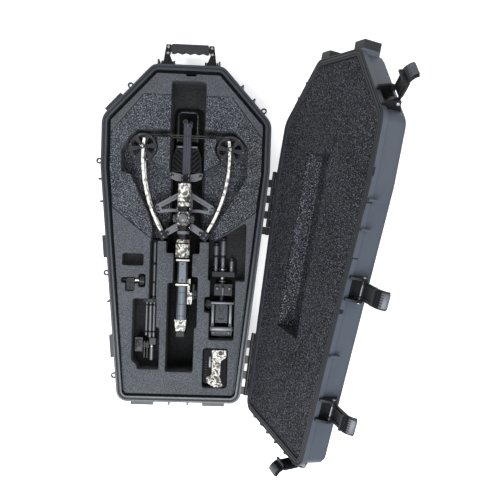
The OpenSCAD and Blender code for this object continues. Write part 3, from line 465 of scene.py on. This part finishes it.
def add_lathe(bm, profile, centre, axis=UP, steps=40):
    """Adds a closed turned form: profile is (radius, height) along the axis from the centre."""
    part = bmesh.new()
    rings = []
    turns = [2 * math.pi * i / steps for i in range(steps)]
    for radius, z in profile:
        if radius < 1e-6:
            rings.append([part.verts.new((0, 0, z))])
        else:
            rings.append([part.verts.new((radius * math.cos(a), radius * math.sin(a), z)) for a in turns])
    for a, b in zip(rings, rings[1:]):
        for i in range(steps):
            j = (i + 1) % steps
            if len(a) == 1 and len(b) == 1:
                continue
            if len(a) == 1:
                part.faces.new((a[0], b[j], b[i]))
            elif len(b) == 1:
                part.faces.new((a[i], a[j], b[0]))
            else:
                part.faces.new((a[i], a[j], b[j], b[i]))
    if len(rings[0]) > 1 and rings[0] is not rings[-1] and profile[0] != profile[-1]:
        part.faces.new(list(reversed(rings[0])))
        part.faces.new(rings[-1])
    elif profile[0] == profile[-1]:
        bmesh.ops.remove_doubles(part, verts=part.verts, dist=1e-5)
    part.transform(stand(centre, axis))
    join(bm, part)


def add_ring(bm, centre, axis, radius, half_width, reach, steps=48, round_by=0.4):
    """Adds a band round an axis: inner radius, half width along the axis, and how far it stands out."""
    r0, r1, w, c = radius, radius + reach, half_width, round_by
    profile = [(r0, -w), (r1 - c, -w), (r1, -w + c), (r1, w - c), (r1 - c, w), (r0, w), (r0, -w)]
    add_lathe(bm, profile, centre, axis, steps)


def add_screw(bm, centre, axis, radius, height, socket=True):
    """Adds a cap screw's head with a chamfer and a hex socket."""
    c = radius * 0.18
    s = radius * 0.5
    if socket:
        profile = [(0, 0), (radius, 0), (radius, height - c), (radius - c, height), (s, height),
                   (s * 0.94, height * 0.45), (0, height * 0.40)]
    else:
        profile = [(0, 0), (radius, 0), (radius, height * 0.5), (radius * 0.8, height * 0.9), (0, height)]
    add_lathe(bm, profile, centre, axis, 24 if radius > 3 else 18)


def arc(cx, cy, r, a0, a1, n=6):
    """Points on an arc, in degrees."""
    return [(cx + r * math.cos(math.radians(a0 + (a1 - a0) * i / n)),
             cy + r * math.sin(math.radians(a0 + (a1 - a0) * i / n))) for i in range(n + 1)]


def round_rect(x0, x1, y0, y1, r):
    """A rectangle's outline with round corners."""
    return (arc(x1 - r, y0 + r, r, -90, 0) + arc(x1 - r, y1 - r, r, 0, 90) + arc(x0 + r, y1 - r, r, 90, 180)
            + arc(x0 + r, y0 + r, r, 180, 270))


ALONG_X = Vector((1, 0, 0))
ALONG_Y = Vector((0, 1, 0))
ACROSS = Matrix(((0, 0, 1, 0), (1, 0, 0, 0), (0, 1, 0, 0), (0, 0, 0, 1)))   # a plate's outline in Y and Z


def add_knurl(bm, centre, axis, inner, outer, length, teeth, depth=0.7):
    """Adds a toothed band round an axis, from the centre along it."""
    part = bmesh.new()
    steps = teeth * 4
    loops = []
    for radius, height in ((inner, 0), (outer, 0), (outer, length), (inner, length)):
        loop = []
        for i in range(steps):
            r = radius - depth if radius == outer and i % 4 > 1 else radius
            a = 2 * math.pi * i / steps
            loop.append(part.verts.new((r * math.cos(a), r * math.sin(a), height)))
        loops.append(loop)
    for a, b in zip(loops, loops[1:] + loops[:1]):
        for i in range(steps):
            j = (i + 1) % steps
            part.faces.new((a[i], a[j], b[j], b[i]))
    part.transform(stand(centre, axis))
    join(bm, part)


def islands(node):
    """Low and high corners, in mm, of each separate solid of a node."""
    bm = bmesh.new()
    bm.from_mesh(NODES[node].data)
    bmesh.ops.remove_doubles(bm, verts=bm.verts, dist=1e-6)
    left = set(bm.verts)
    found = []
    while left:
        todo = [left.pop()]
        part = list(todo)
        while todo:
            near = {v for e in todo.pop().link_edges for v in e.verts} & left
            left -= near
            todo.extend(near)
            part.extend(near)
        corners = [Vector(f(v.co[i] for v in part) / MM for i in range(3)) for f in (min, max)]
        found.append(corners)
    bm.free()
    return sorted(found, key=lambda c: tuple(c[0]))


class Kit:
    """Loose details of one body, gathered into one piece for each material slot."""

    def __init__(self, body, name="details"):
        self.body, self.name, self.parts = body, name, {}

    def __getitem__(self, slot):
        return self.parts.setdefault(slot, bmesh.new())

    def place(self, matrix=None, material=None):
        for slot, bm in self.parts.items():
            mesh = to_mesh(slot, bm, matrix)
            show(f"{self.body}_{self.name}_{slot}", mesh, slot, self.body, material)


# ---- CAD nodes that stay --------------------------------------------------------------------------
EDGE_WIDTHS = {"base_shell": 1.4, "lid_shell": 1.4, "handle_frame": 1.6, "handle_grip": 2.0,
               "bow_pistol_grip": 1.8, "bow_stock": 1.6, "bow_butt_pad": 2.2, "bow_cheekpiece": 0.9,
               "bow_limbs": 0.9, "bow_receiver": 1.0, "latch_brackets": 1.0, "monopod_clamp": 1.0,
               "tripod_head": 1.0}
FINE_EDGE = 0.5
REPLACED_SLOTS = {"smooth_foam", "pebbled_foam"}


def dress(node, slot):
    """Gives a CAD node its material, and modifiers that weld it and round its edges."""
    obj = NODES[node]
    obj.data.materials.clear()
    obj.data.materials.append(MATERIALS[LOOKS.get(node, slot)])
    if "custom_normal" in obj.data.attributes:
        obj.data.attributes.remove(obj.data.attributes["custom_normal"])
    obj.data.shade_smooth()
    weld = obj.modifiers.new("weld", "WELD")
    weld.merge_threshold = 1e-6
    flat = obj.modifiers.new("flat", "DECIMATE")
    flat.decimate_type = "DISSOLVE"
    flat.angle_limit = math.radians(0.6)
    round_off = obj.modifiers.new("round", "BEVEL")
    round_off.width = EDGE_WIDTHS.get(node, FINE_EDGE) * MM
    round_off.segments = 2
    round_off.limit_method = "ANGLE"
    round_off.angle_limit = SMOOTH_ANGLE
    round_off.harden_normals = False
    weighted = obj.modifiers.new("weighted", "WEIGHTED_NORMAL")
    weighted.keep_sharp = True


def dress_frame():
    """Dresses every CAD node except the foam blocks, which are rebuilt."""
    slots = {s["node"]: s["material_slot"] for s in frame["record"]["subparts"]}
    for node, slot in slots.items():
        if slot not in REPLACED_SLOTS:
            dress(node, slot)


# ---- Foam -----------------------------------------------------------------------------------------
def draw_in(mesh, gap):
    """Squeezes the block's top border inwards, so that a shadow gap shows beside the rim. It is widest at
    the head."""
    edge_band = 9.0 * MM
    corner = 20 * MM        # shorter stretches of the outline are its round corners, which follow the sides
    verts = mesh.vertices
    coords = np.empty(len(verts) * 3)
    verts.foreach_get("co", coords)
    coords = coords.reshape(-1, 3)
    top = coords[:, 2] > (FOAM_HEIGHT - 5) * MM
    points = [Vector(p) for p in coords[coords[:, 2] > (FOAM_HEIGHT - 2) * MM][:, :2]]
    hull = [points[i] for i in convex_hull_2d(points)]
    xy = coords[top][:, :2]
    reach = gap * MM * (0.35 + 0.65 * np.clip(xy[:, 1] / (300 * MM), 0, 1))
    for a, b in zip(hull, hull[1:] + hull[:1]):
        along = (b - a).normalized()
        inward = Vector((-along.y, along.x))
        if (Vector((0, 0)) - a).dot(inward) < 0:
            inward = -inward
        if (b - a).length < corner:
            continue
        away = (xy - np.array(a)) @ np.array(inward)
        xy = xy + np.outer(np.clip(1 - away / edge_band, 0, 1) * reach, np.array(inward))
    coords[top, 0:2] = xy
    verts.foreach_set("co", coords.ravel())


def foam_block(name, node, body, slot, material, voxel, pebble, depth, turn=None, gap=0.0):
    """A foam block remeshed finely enough to carry its skin's pebbles as real relief."""
    source = NODES[node]
    mesh = source.data.copy()
    turn = turn or Matrix()
    mesh.transform(turn)
    obj = bpy.data.objects.new(name, mesh)
    bpy.context.scene.collection.objects.link(obj)
    weld = obj.modifiers.new("weld", "WELD")
    weld.merge_threshold = 1e-6
    remesh = obj.modifiers.new("remesh", "REMESH")
    remesh.mode = "VOXEL"
    remesh.voxel_size = voxel * MM
    relax = obj.modifiers.new("relax", "SMOOTH")
    relax.factor = 0.5
    relax.iterations = 2
    skin = bpy.data.textures.new(name + "_skin", "VORONOI")
    skin.noise_scale = pebble * MM
    skin.distance_metric = "DISTANCE"
    relief = obj.modifiers.new("relief", "DISPLACE")
    relief.texture = skin
    relief.texture_coords = "LOCAL"
    relief.strength = -depth * MM
    relief.mid_level = 0.0
    depsgraph = bpy.context.evaluated_depsgraph_get()
    final = bpy.data.meshes.new_from_object(obj.evaluated_get(depsgraph))
    if gap:
        draw_in(final, gap)
    final.transform(turn.inverted())
    bpy.data.objects.remove(obj)
    piece = show(name, final, slot, body, material)
    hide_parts(node)
    return piece


# The painted shadow strip's top, and its widths
GAP_SHADOW_TOP = FOAM_HEIGHT - 2.6
GAP_SHADOW_WIDTH = (4, 9)       # at the foot and at the head


def paint_gap_shadow():
    """A black strip at the bottom of the gap between the base's foam and its rim: painted shadow that keeps the
    gap dark.
    """
    top = [v.co for v in NODES["base_foam"].data.vertices if v.co.z > (FOAM_HEIGHT - 1) * MM]
    points = [Vector((p.x, p.y)) / MM for p in top]
    hull = [points[i] for i in convex_hull_2d(points)]
    kit = Kit("base", "gap_shadow")
    centre = sum(hull, Vector((0, 0))) / len(hull)
    strip = kit["gasket"]
    narrow, wide = GAP_SHADOW_WIDTH
    inner = [p + (centre - p).normalized() * (narrow + (wide - narrow) * min(max(p.y / 200, 0), 1))
             for p in hull]
    rings = [[strip.verts.new((*p, z)) for p in loop] for loop, z in
             ((hull, GAP_SHADOW_TOP - 4), (hull, GAP_SHADOW_TOP), (inner, GAP_SHADOW_TOP), (inner, GAP_SHADOW_TOP - 4))]
    for a, b in zip(rings, rings[1:] + rings[:1]):
        for i in range(len(hull)):
            j = (i + 1) % len(hull)
            strip.faces.new((a[i], a[j], b[j], b[i]))
    kit.place(material="gap_shadow")


def build_foam():
    """The three foam blocks: the smooth base, its pebbled insert and the lid's lining."""
    paint_gap_shadow()
    foam_block("foam_base", "base_foam", "base", "smooth_foam", "smooth_foam", 3.0, 3.5, 0.3, gap=8.0)
    foam_block("foam_insert", "insert_foam", "base", "pebbled_foam", "pebbled_foam", 2.0, 4.4, 0.9)
    foam_block("foam_lid", "lid_foam", "lid", "pebbled_foam", "lid_foam", 2.2, 4.8, 1.1, closed_lid())


# ---- Case details ----------------------------------------------------------------------------------
def hinge_details():
    """Round heads on both ends of each hinge pin."""
    axis = Vector(next(j for j in frame["joints"] if j["name"] == "lid_hinge")["axis"])
    kit = Kit("base", "hinge")
    for low, high in islands("hinge_pins"):
        half = (high.y - low.y) / 2 / axis.y
        for end in (-1, 1):
            add_screw(kit["steel"], (low + high) / 2 + axis * end * (half - 0.5), axis * end, 4.2, 1.8, False)
    kit.place()


def valve_details():
    """Knurled cap with a coin slot on the pressure valve."""
    low, high = box_mm("relief_valve")
    c = (low + high) / 2
    kit = Kit("base", "valve")
    add_knurl(kit["black_plastic"], (c.x, high.y - 0.5, c.z), ALONG_Y, 7.5, (high.x - low.x) / 2 - 1, 2.6, 22)
    cap = [(0, 0), (6.8, 0), (6.2, 1.6), (0, 2.0)]
    add_lathe(kit["dark_plastic"], cap, (c.x, high.y - 0.5, c.z), ALONG_Y)
    add_box(kit["steel"], (c.x - 5, high.y + 1.0, c.z - 0.8), (c.x + 5, high.y + 1.8, c.z + 0.8), 0.2)
    kit.place()


def handle_details():
    """Rivet heads, and moulded lines along the arms of the handle."""
    kit = Kit("handle")
    for low, high in islands("handle_screws"):
        centre = ((low.x + high.x) / 2, (low.y + high.y) / 2, high.z - 0.2)
        add_screw(kit["steel"], centre, UP, (high.x - low.x) / 2 - 0.8, 1.2)
    low, high = box_mm("handle_grip")
    for i in range(-5, 6):
        x = i * (high.x - low.x) / 12.5
        add_box(kit["grip_rubber"], (x - 1.1, low.y + 7, high.z - 0.4),
                (x + 1.1, high.y - 4, high.z + 0.6), 0.5)
    frame_low, frame_high = box_mm("handle_frame")
    for side in (-1, 1):
        x = side * (frame_high.x - 13)
        add_box(kit["black_plastic"], (x - 3.5, frame_low.y + 14, frame_high.z - 0.5),
                (x + 3.5, frame_low.y + 34, frame_high.z + 0.7), 0.6)
    kit.place()


def latch_details():
    """Pin heads and bracket screws on the lid, and a smooth finger pad on each lever."""
    opened = closed_lid().inverted().to_quaternion().to_matrix().to_4x4()
    for number in range(1, 6):
        joint = next(j for j in frame["joints"] if j["name"] == f"latch_{number}_turn")
        closed_axis = opened.inverted() @ Vector(joint["axis"])
        swing = Matrix.Rotation(math.atan2(closed_axis.y, closed_axis.x), 4, UP)
        seat = Matrix.Translation(Vector(joint["pos_m"]) / MM) @ opened @ swing
        lever = seat @ Matrix.Rotation(math.radians(-joint["range_deg"][0]), 4, ALONG_X)
        kit = Kit("lid", f"latch_{number}")
        for side in (-1, 1):
            add_screw(kit["steel"], (side * 30, 0, 0), ALONG_X * side, 4.2, 2.0, False)
            add_box(kit["black_plastic"], (side * 26 - 3.6, 2, -4), (side * 26 + 3.6, 7.8, 4), 1.0)
        kit.place(seat)
        pad = Kit(f"latch_{number}", "pad")
        outline = [(4.0, -64.2), (9.6, -71.8), (19.2, -77.2), (21.4, -74.6), (11.5, -68.6), (5.4, -62.2)]
        add_plate(pad["latch_plastic"], outline, -17.5, 17.5, 0.7, 2, matrix=ACROSS)
        pad.place(lever, "latch_pad")
        stem = Kit(f"latch_{number}", "stem")
        for x in (-18.5, 18.5):
            add_box(stem["latch_plastic"], (x - 2.6, 5.5, -50), (x + 2.6, 9.2, -12), 0.8)
        add_box(stem["latch_plastic"], (-16, 6.2, -33), (16, 8.4, -28), 0.8)
        stem.place(lever)


LID_WALL_RIBS = ((225, 20, 1, 6), (156, 2.4, 1, 18), (146, 20, 1, 3), (27, 2.4, 1, 18), (16, 20, 1, 3))
LID_BOSS_Y = -101


def lid_wall_details():
    """Dark ribs by the rim and a round boss on the lid's free long wall, drawn with the lid shut.
    Each rib is (place along the case, length, low, high above the rim)."""
    head, foot = LID_WALL
    along = (head - foot).normalized()
    out = Vector((-along.y, along.x, 0))

    def spot(y):
        at = head + (foot - head) * ((head.y - y) / (head.y - foot.y))
        return Vector((max(at.x, head.x), y, RIM_HEIGHT))

    kit = Kit("lid", "wall")
    for y, length, low, high in LID_WALL_RIBS:
        rib = bmesh.new()
        add_box(rib, (-length / 2, -5, low), (length / 2, 1.2, high), 0.5)
        rib.transform(Matrix.Translation(spot(y)) @ Matrix((along, out, UP)).transposed().to_4x4())
        join(kit["black_plastic"], rib)
    boss = [(0, -5), (5.5, -5), (5.5, 1.4), (4.5, 2.2), (2.2, 2.2), (2.0, 0.8), (0, 0.8)]
    add_lathe(kit["black_plastic"], boss, spot(LID_BOSS_Y) + UP * 7, out, 28)
    opened = closed_lid().inverted()
    opened.translation /= MM
    kit.place(opened)


# ---- Crossbow details ------------------------------------------------------------------------------
def scope_details():
    """Lips, domed lenses, clamp screws and knurling for the scope."""
    axis = middle("scope_lenses")
    low, high = box_mm("scope_housings")
    lens_low, lens_high = box_mm("scope_lenses")
    bore = lens_high.x

    def at(y):
        return (axis.x, y, axis.z)

    kit = Kit("crossbow", "scope")
    black = kit["black_metal"]
    add_ring(black, at(high.y - 1.0), ALONG_Y, bore + 0.3, 1.6, 4.0)
    add_knurl(black, at(low.y - 1.2), ALONG_Y, bore + 0.3, 21.4, 7.0, 34)
    add_ring(black, at(low.y + 42), ALONG_Y, 20.6, 2.2, 1.0)
    add_ring(black, at(high.y - 58), ALONG_Y, 18.6, 1.6, 1.0)
    for y, side in ((lens_high.y, 1), (lens_low.y, -1)):
        dome = [(0, 3.4), (6, 2.9), (11, 1.4), (bore - 0.4, 0), (bore - 0.4, -0.6), (0, -0.6)]
        add_lathe(kit["lens"], dome, at(y), ALONG_Y * side)
    rings_low, rings_high = box_mm("scope_rings")
    for y in (rings_low.y + 8.5, rings_high.y - 12.5):
        for side in (-1, 1):
            x = side * (rings_high.x + 0.4)
            add_box(black, (x - 2.8, y - 3.8, axis.z - 5), (x + 2.8, y + 3.8, axis.z + 5), 0.8)
            add_screw(kit["steel"], (x, y, axis.z + 5), UP, 2.0, 1.3)
    kit.place()


def dial_details():
    """Knurled sleeves and caps on the scope's three dials."""
    for node, body, direction in (("scope_elevation_knob", "elevation_dial", UP),
                                  ("scope_windage_knob", "windage_dial", ALONG_X),
                                  ("scope_focus_knob", "focus_dial", -ALONG_X)):
        low, high = box_mm(node)
        centre = (low + high) / 2
        radius = (high.y - low.y) / 2
        reach = abs((high - low).dot(direction)) / 2
        foot = centre - direction * reach
        kit = Kit(body)
        add_knurl(kit["black_metal"], foot + direction * 0.8, direction, radius - 2, radius + 1.0,
                  reach * 1.7, 30)
        add_lathe(kit["grey_metal"], [(0, 0), (radius * 0.68, 0), (radius * 0.68, 0.7), (radius * 0.6, 1.2),
                                      (radius * 0.18, 1.2), (radius * 0.16, 0.5), (0, 0.5)],
                  centre + direction * (reach - 0.2), direction)
        kit.place()


def bow_details():
    """Bolts, washers, caps and covers along the crossbow."""
    kit = Kit("crossbow")
    black, steel, grey = kit["black_metal"], kit["steel"], kit["grey_metal"]
    for low, high in islands("bow_screws"):
        if high.x - low.x > 20:
            continue
        x, y, r = (low.x + high.x) / 2, (low.y + high.y) / 2, (high.x - low.x) / 2
        add_ring(black, (x, y, high.z - 0.9), UP, r - 0.1, 0.9, 1.3, 28)
        add_screw(black, (x, y, high.z - 0.1), UP, r - 0.5, 1.2)
    for low, high in islands("bow_limb_pockets"):
        c = (low + high) / 2
        side = 1 if c.x > 0 else -1
        if low.y < 0:
            along = Vector((0.539 * side, 0.842, 0))
            for step in (-7, 5):
                add_screw(grey, Vector((c.x, c.y, high.z - 0.2)) + along * step, UP, 3.0, 1.8)
    for low, high in islands("bow_cam_axles"):
        x, y, r = (low.x + high.x) / 2, (low.y + high.y) / 2, (high.x - low.x) / 2
        add_ring(black, (x, y, high.z - 2.6), UP, r, 0.8, 3.0)
        add_screw(steel, (x, y, high.z - 0.2), UP, r - 0.6, 1.0)
    add_plate(kit["black_plastic"], round_rect(-15, 12, 166, 187, 3), 97.5, 101.5, 0.9)
    for x in (-11, 8):
        for y in (170, 183):
            add_screw(steel, (x, y, 101.2), UP, 1.7, 1.2)
    for x, y, z, r in ((-7.5, 350, 93.8, 5.2), (10, 346, 91.8, 3.4)):
        add_screw(black, (x, y, z), UP, r, 1.5)
    for side in (-1, 1):
        ends = sorted((side * 12.5, side * 31))
        add_box(grey, (ends[0], 270.5, 90.6), (ends[1], 275.5, 92.4), 0.6)
        rail_x = sorted((side * 11.2, side * 12.6))
        add_box(kit["black_plastic"], (rail_x[0], 188, 76), (rail_x[1], 325, 97.4), 0.5)
    receiver_low, receiver_high = box_mm("bow_receiver")
    for side, x in ((-1, receiver_low.x), (1, receiver_high.x)):
        for y in (-55, -5, 20, 45):
            add_screw(steel, (x - side * 0.3, y, 72), ALONG_X * side, 2.6, 1.2)
    kit.place()


def stock_details():
    """Camouflage sleeve on the stock's tail, dark rails beside the cheek pieces, and their screws."""
    kit = Kit("crossbow", "stock")
    low, high = box_mm("bow_cheekpiece")
    centre = (low.x + high.x) / 2
    stock_top = box_mm("bow_stock")[1].z
    add_plate(kit["camo_scope"], [(-22.8, -263), (-16.8, -298.6), (10.8, -298.6), (14.8, -263)], 60,
              stock_top + 0.9, 1.0)
    dark = kit["black_plastic"]
    for x0, x1, y0, y1, z in ((-16, -10.6, -146, -83, 7.4), (8.6, 14, -146, -83, 7.4),
                              (-16.6, -11.2, -261, -160, 5.2), (9.2, 14.6, -261, -160, 5.2)):
        add_box(dark, (x0, y0, stock_top - 3), (x1, y1, stock_top + z), 1.4, 3)
    for y in (-90, -139):
        add_screw(kit["black_metal"], (centre, y, high.z - 1.8), UP, 2.4, 1.2)
    for y in (-178, -214, -250):
        add_box(dark, (centre - 9, y - 0.7, high.z - 2), (centre + 9, y + 0.7, high.z + 0.25), 0.2)
    kit.place()
    crank = Kit("crank")
    lever_end = box_mm("bow_crank_lever")[1].x
    add_screw(crank["steel"], (lever_end - 0.3, -194, 96), ALONG_X, 2.4, 1.0)
    add_knurl(crank["black_plastic"], (37.2, -179, 96), ALONG_X, 9, 11.3, 7, 22)
    crank.place()


def cam_details():
    """Hub collars and rim screws on the cams."""
    for body, node in (("cam_left", "bow_cam_left"), ("cam_right", "bow_cam_right")):
        low, high = box_mm(node)
        c = (low + high) / 2
        radius = (high.x - low.x) / 2
        kit = Kit(body)
        add_ring(kit["cam_metal"], (c.x, c.y, high.z - 0.2), UP, 5.4, 1.0, 4.2, 36)
        for i in range(6):
            a = math.radians(50 + 60 * i)
            rim = (c.x + (radius - 2.2) * math.cos(a), c.y + (radius - 2.2) * math.sin(a), high.z - 0.1)
            add_screw(kit["steel"], rim, UP, 1.5, 0.9)
        kit.place()


# ---- Accessory details -----------------------------------------------------------------------------
def rangefinder_details():
    """Camouflage wrap, grip ribs, bezels and a button on the rangefinder."""
    low, high = box_mm("rangefinder_body")
    deck = RANGEFINDER_DECK
    kit = Kit("rangefinder")
    black = kit["black_plastic"]
    wrap = [(25, -2), (69, -2), (69, -24), (53, -36), (52, -86), (61, -114), (35, -114), (12, -101),
            (11, -86), (27, -78)]
    outline = [(low.x + x, high.y + y) for x, y in reversed(wrap)]
    add_plate(kit["camo_scope"], outline, deck - 0.5, deck + 1.6, 0.8)
    for i in range(6):
        y = high.y - 38 - i * 8
        add_box(black, (low.x + 4.5, y - 1.2, deck + 2), (low.x + 13, y + 1.2, deck + 3), 0.4)
    add_box(kit["grey_metal"], (low.x + 17, high.y - 55, deck + 1.5),
            (low.x + 23, high.y - 22, deck + 2.9), 0.5)
    add_lathe(black, [(0, 0), (6, 0), (6, 1.2), (5, 1.8), (0, 1.5)], (low.x + 52, high.y - 11, high.z - 0.2))
    lens_low, lens_high = box_mm("rangefinder_lenses")
    z = (lens_low.z + lens_high.z) / 2
    for x, r in ((124, 12), (93, 9)):
        add_ring(black, (x, high.y + 0.2, z), ALONG_Y, r - 0.6, 1.0, 1.8)
    add_ring(black, (121, lens_low.y, z), ALONG_Y, 9, 1.0, 2.2)
    kit.place()


def tripod_details():
    """Collars, screws, bright bars and a knurled knob on the folded tripod."""
    kit = Kit("tripod")
    black, steel, grey = kit["black_plastic"], kit["steel"], kit["grey_metal"]
    for low, high in islands("tripod_legs"):
        c = (low + high) / 2
        r = (high.x - low.x) / 2
        add_ring(black, (c.x, high.y - 5, c.z), ALONG_Y, r - 0.4, 3.0, 1.5)
        if r > 7:
            add_ring(black, (c.x, -64, c.z), ALONG_Y, r - 0.4, 3.5, 1.6)
        add_ring(steel, (c.x, low.y + 14, c.z), ALONG_Y, 6.2, 1.4, 0.9)
    for y, r, half, slot in ((-104, 11.4, 2.2, steel), (-109.5, 11.4, 1.0, black), (-121, 9.4, 2.0, steel),
                             (-132, 9.4, 3.0, steel), (-142, 9.4, 1.4, grey)):
        add_ring(slot, (122, y, 72), ALONG_Y, r, half, 1.0)
    for x, y, z in ((107, -164, 90), (145, -164, 90), (99, -304, 88), (147, -304, 88)):
        add_screw(grey, (x, y, z - 0.2), UP, 3.6, 1.6)
    add_ring(grey, (125, -173, 86), ALONG_Y, 3.8, 12, 0.7, 28)
    for x0, x1, y0, y1, z in ((89, 160, -211.5, -206.5, 92), (92, 99, -274, -215, 89),
                              (147.5, 154.5, -274, -215, 89), (90, 157, -295, -286.5, 94)):
        add_box(grey, (x0, y0, z - 0.5), (x1, y1, z + 0.9), 0.6)
    for y in (-218, -268):
        for x in (108.5, 137.5):
            add_screw(black, (x, y, 79.8), UP, 1.8, 1.2)
    add_knurl(black, (73.5, -214, 78), ALONG_X, 13, 16.9, 12, 26, 1.0)
    add_screw(steel, (72, -214, 78), -ALONG_X, 4.5, 1.4)
    kit.place()


def monopod_details():
    """Collars along the monopod's rod, joint screws and the clamp's dial."""
    kit = Kit("monopod")
    black, steel, grey = kit["black_plastic"], kit["steel"], kit["grey_metal"]
    for y, half in ((-24, 3), (-92, 4), (-150, 2.5), (-196, 3)):
        add_ring(black, (-90, y, 90), ALONG_Y, 4.3, half, 1.6, 32)
    for x in (-115.5, -84.5):
        add_screw(black, (x, -206.5, 95.8), UP, 4.8, 1.6)
    for x, z, r in ((-111, 84, 3.3), (-99, 84, 4.8), (-87.5, 84, 3.8)):
        add_ring(black, (x, -222, z), ALONG_Y, r, 2.5, 1.2, 28)
        add_ring(black, (x, -306, z), ALONG_Y, r, 3.0, 1.2, 28)
    add_ring(steel, (-92.5, -352, 84), ALONG_Y, 5.8, 2.0, 0.9)
    add_ring(grey, (-92.5, -376, 84), ALONG_Y, 5.8, 15, 0.6)
    add_plate(black, round_rect(-140, -120, -362, -328, 3), 101.6, 103, 0.5)
    add_ring(black, (-130, -345, 104.6), UP, 5, 1.0, 2.2)
    add_screw(black, (-130, -345, 104.9), UP, 3.5, 1.2)
    kit.place()


def knob_tool_details():
    """A bright sleeve and a capped end on the little knob tool."""
    low, high = box_mm("knob_tool")
    z = (low.z + high.z) / 2
    kit = Kit("knob_tool")
    add_ring(kit["steel"], (-140, -143.5, z), ALONG_X, 7.3, 5.5, 0.8, 32)
    add_screw(kit["steel"], (high.x - 1.4, -143.5, z), ALONG_X, 5.5, 1.2)
    for y in (-166, -152):
        add_screw(kit["black_plastic"], (-160, y, 112.8), UP, 2.6, 1.2)
    kit.place()


# ---- Floor, light and camera ------------------------------------------------------------------------
FLOOR_REACH = 14000
WORLD_LIGHT = 0.62          # the soft light from all round; the background itself is shown white
COOL_LIGHT = (0.93, 0.97, 1.0)
AIM = Vector((0.1, 0, 0.1))
LAMPS = (("key", (-0.1, -1.2, 2.2), 1.4, 58), ("fill", (1.9, 0.6, 2.6), 1.2, 24),
         ("glint", (-1.6, 0.9, 2.2), 0.35, 16), ("foot", (-0.1, -1.5, 1.3), 0.5, 4.5))
CAMERA_PLACE = (0.1479, 0.0096, 1.8641)
CAMERA_TILT = Vector((-1.627, -1.837, 1.970))       # axis and angle from straight down, in degrees
CAMERA_LENS = 40.81


def lay_floor():
    """A pale floor just below the case."""
    bm = bmesh.new()
    bmesh.ops.create_grid(bm, x_segments=1, y_segments=1, size=FLOOR_REACH)
    bm.transform(Matrix.Translation((0, 0, -1.0)))
    mesh = to_mesh("floor", bm)
    floor = bpy.data.objects.new("floor", mesh)
    bpy.context.scene.collection.objects.link(floor)
    g = Graph("floor")
    tone = g.mix(g.noise(1.5, 3), srgb(246, 246, 246), srgb(252, 252, 252))
    mesh.materials.append(g.finish(tone, 0.9, 0.0, g.noise(300, 3), 0.0002, Emission_Color=tone,
                                   Emission_Strength=0.42))


def light_world():
    """An even white surround."""
    world = bpy.data.worlds.new("studio")
    bpy.context.scene.world = world
    world.use_nodes = True
    background = world.node_tree.nodes["Background"]
    background.inputs[0].default_value = (1, 1, 1, 1)
    seen = world.node_tree.nodes.new("ShaderNodeLightPath").outputs["Is Camera Ray"]
    strength = world.node_tree.nodes.new("ShaderNodeMapRange")
    strength.inputs["To Min"].default_value = WORLD_LIGHT
    strength.inputs["To Max"].default_value = 1.0
    world.node_tree.links.new(seen, strength.inputs["Value"])
    world.node_tree.links.new(strength.outputs[0], background.inputs[1])


def hang_lamps():
    """Soft lamps, all aimed at the middle of the case."""
    for name, place, size, power in LAMPS:
        lamp = bpy.data.lights.new(name, "AREA")
        lamp.energy = power
        lamp.size = size
        lamp.color = COOL_LIGHT
        light = bpy.data.objects.new(name, lamp)
        light.location = place
        light.rotation_euler = (AIM - Vector(place)).to_track_quat("-Z", "Y").to_euler()
        bpy.context.scene.collection.objects.link(light)


def place_camera():
    """Straight above the open case, a little to the hinge side, as the photograph was taken."""
    data = bpy.data.cameras.new("camera")
    data.lens = CAMERA_LENS
    data.clip_end = 50
    camera = bpy.data.objects.new("camera", data)
    turn = Matrix.Rotation(math.radians(CAMERA_TILT.length), 4, CAMERA_TILT.normalized())
    camera.matrix_world = Matrix.Translation(CAMERA_PLACE) @ turn
    bpy.context.scene.collection.objects.link(camera)
    bpy.context.scene.camera = camera
    bpy.context.scene.view_settings.view_transform = "Standard"


dress_frame()
build_foam()
for details in (hinge_details, valve_details, handle_details, latch_details, lid_wall_details, scope_details,
                dial_details, bow_details, stock_details, cam_details, rangefinder_details, tripod_details,
                monopod_details, knob_tool_details):
    details()
lay_floor()
light_world()
hang_lamps()
place_camera()
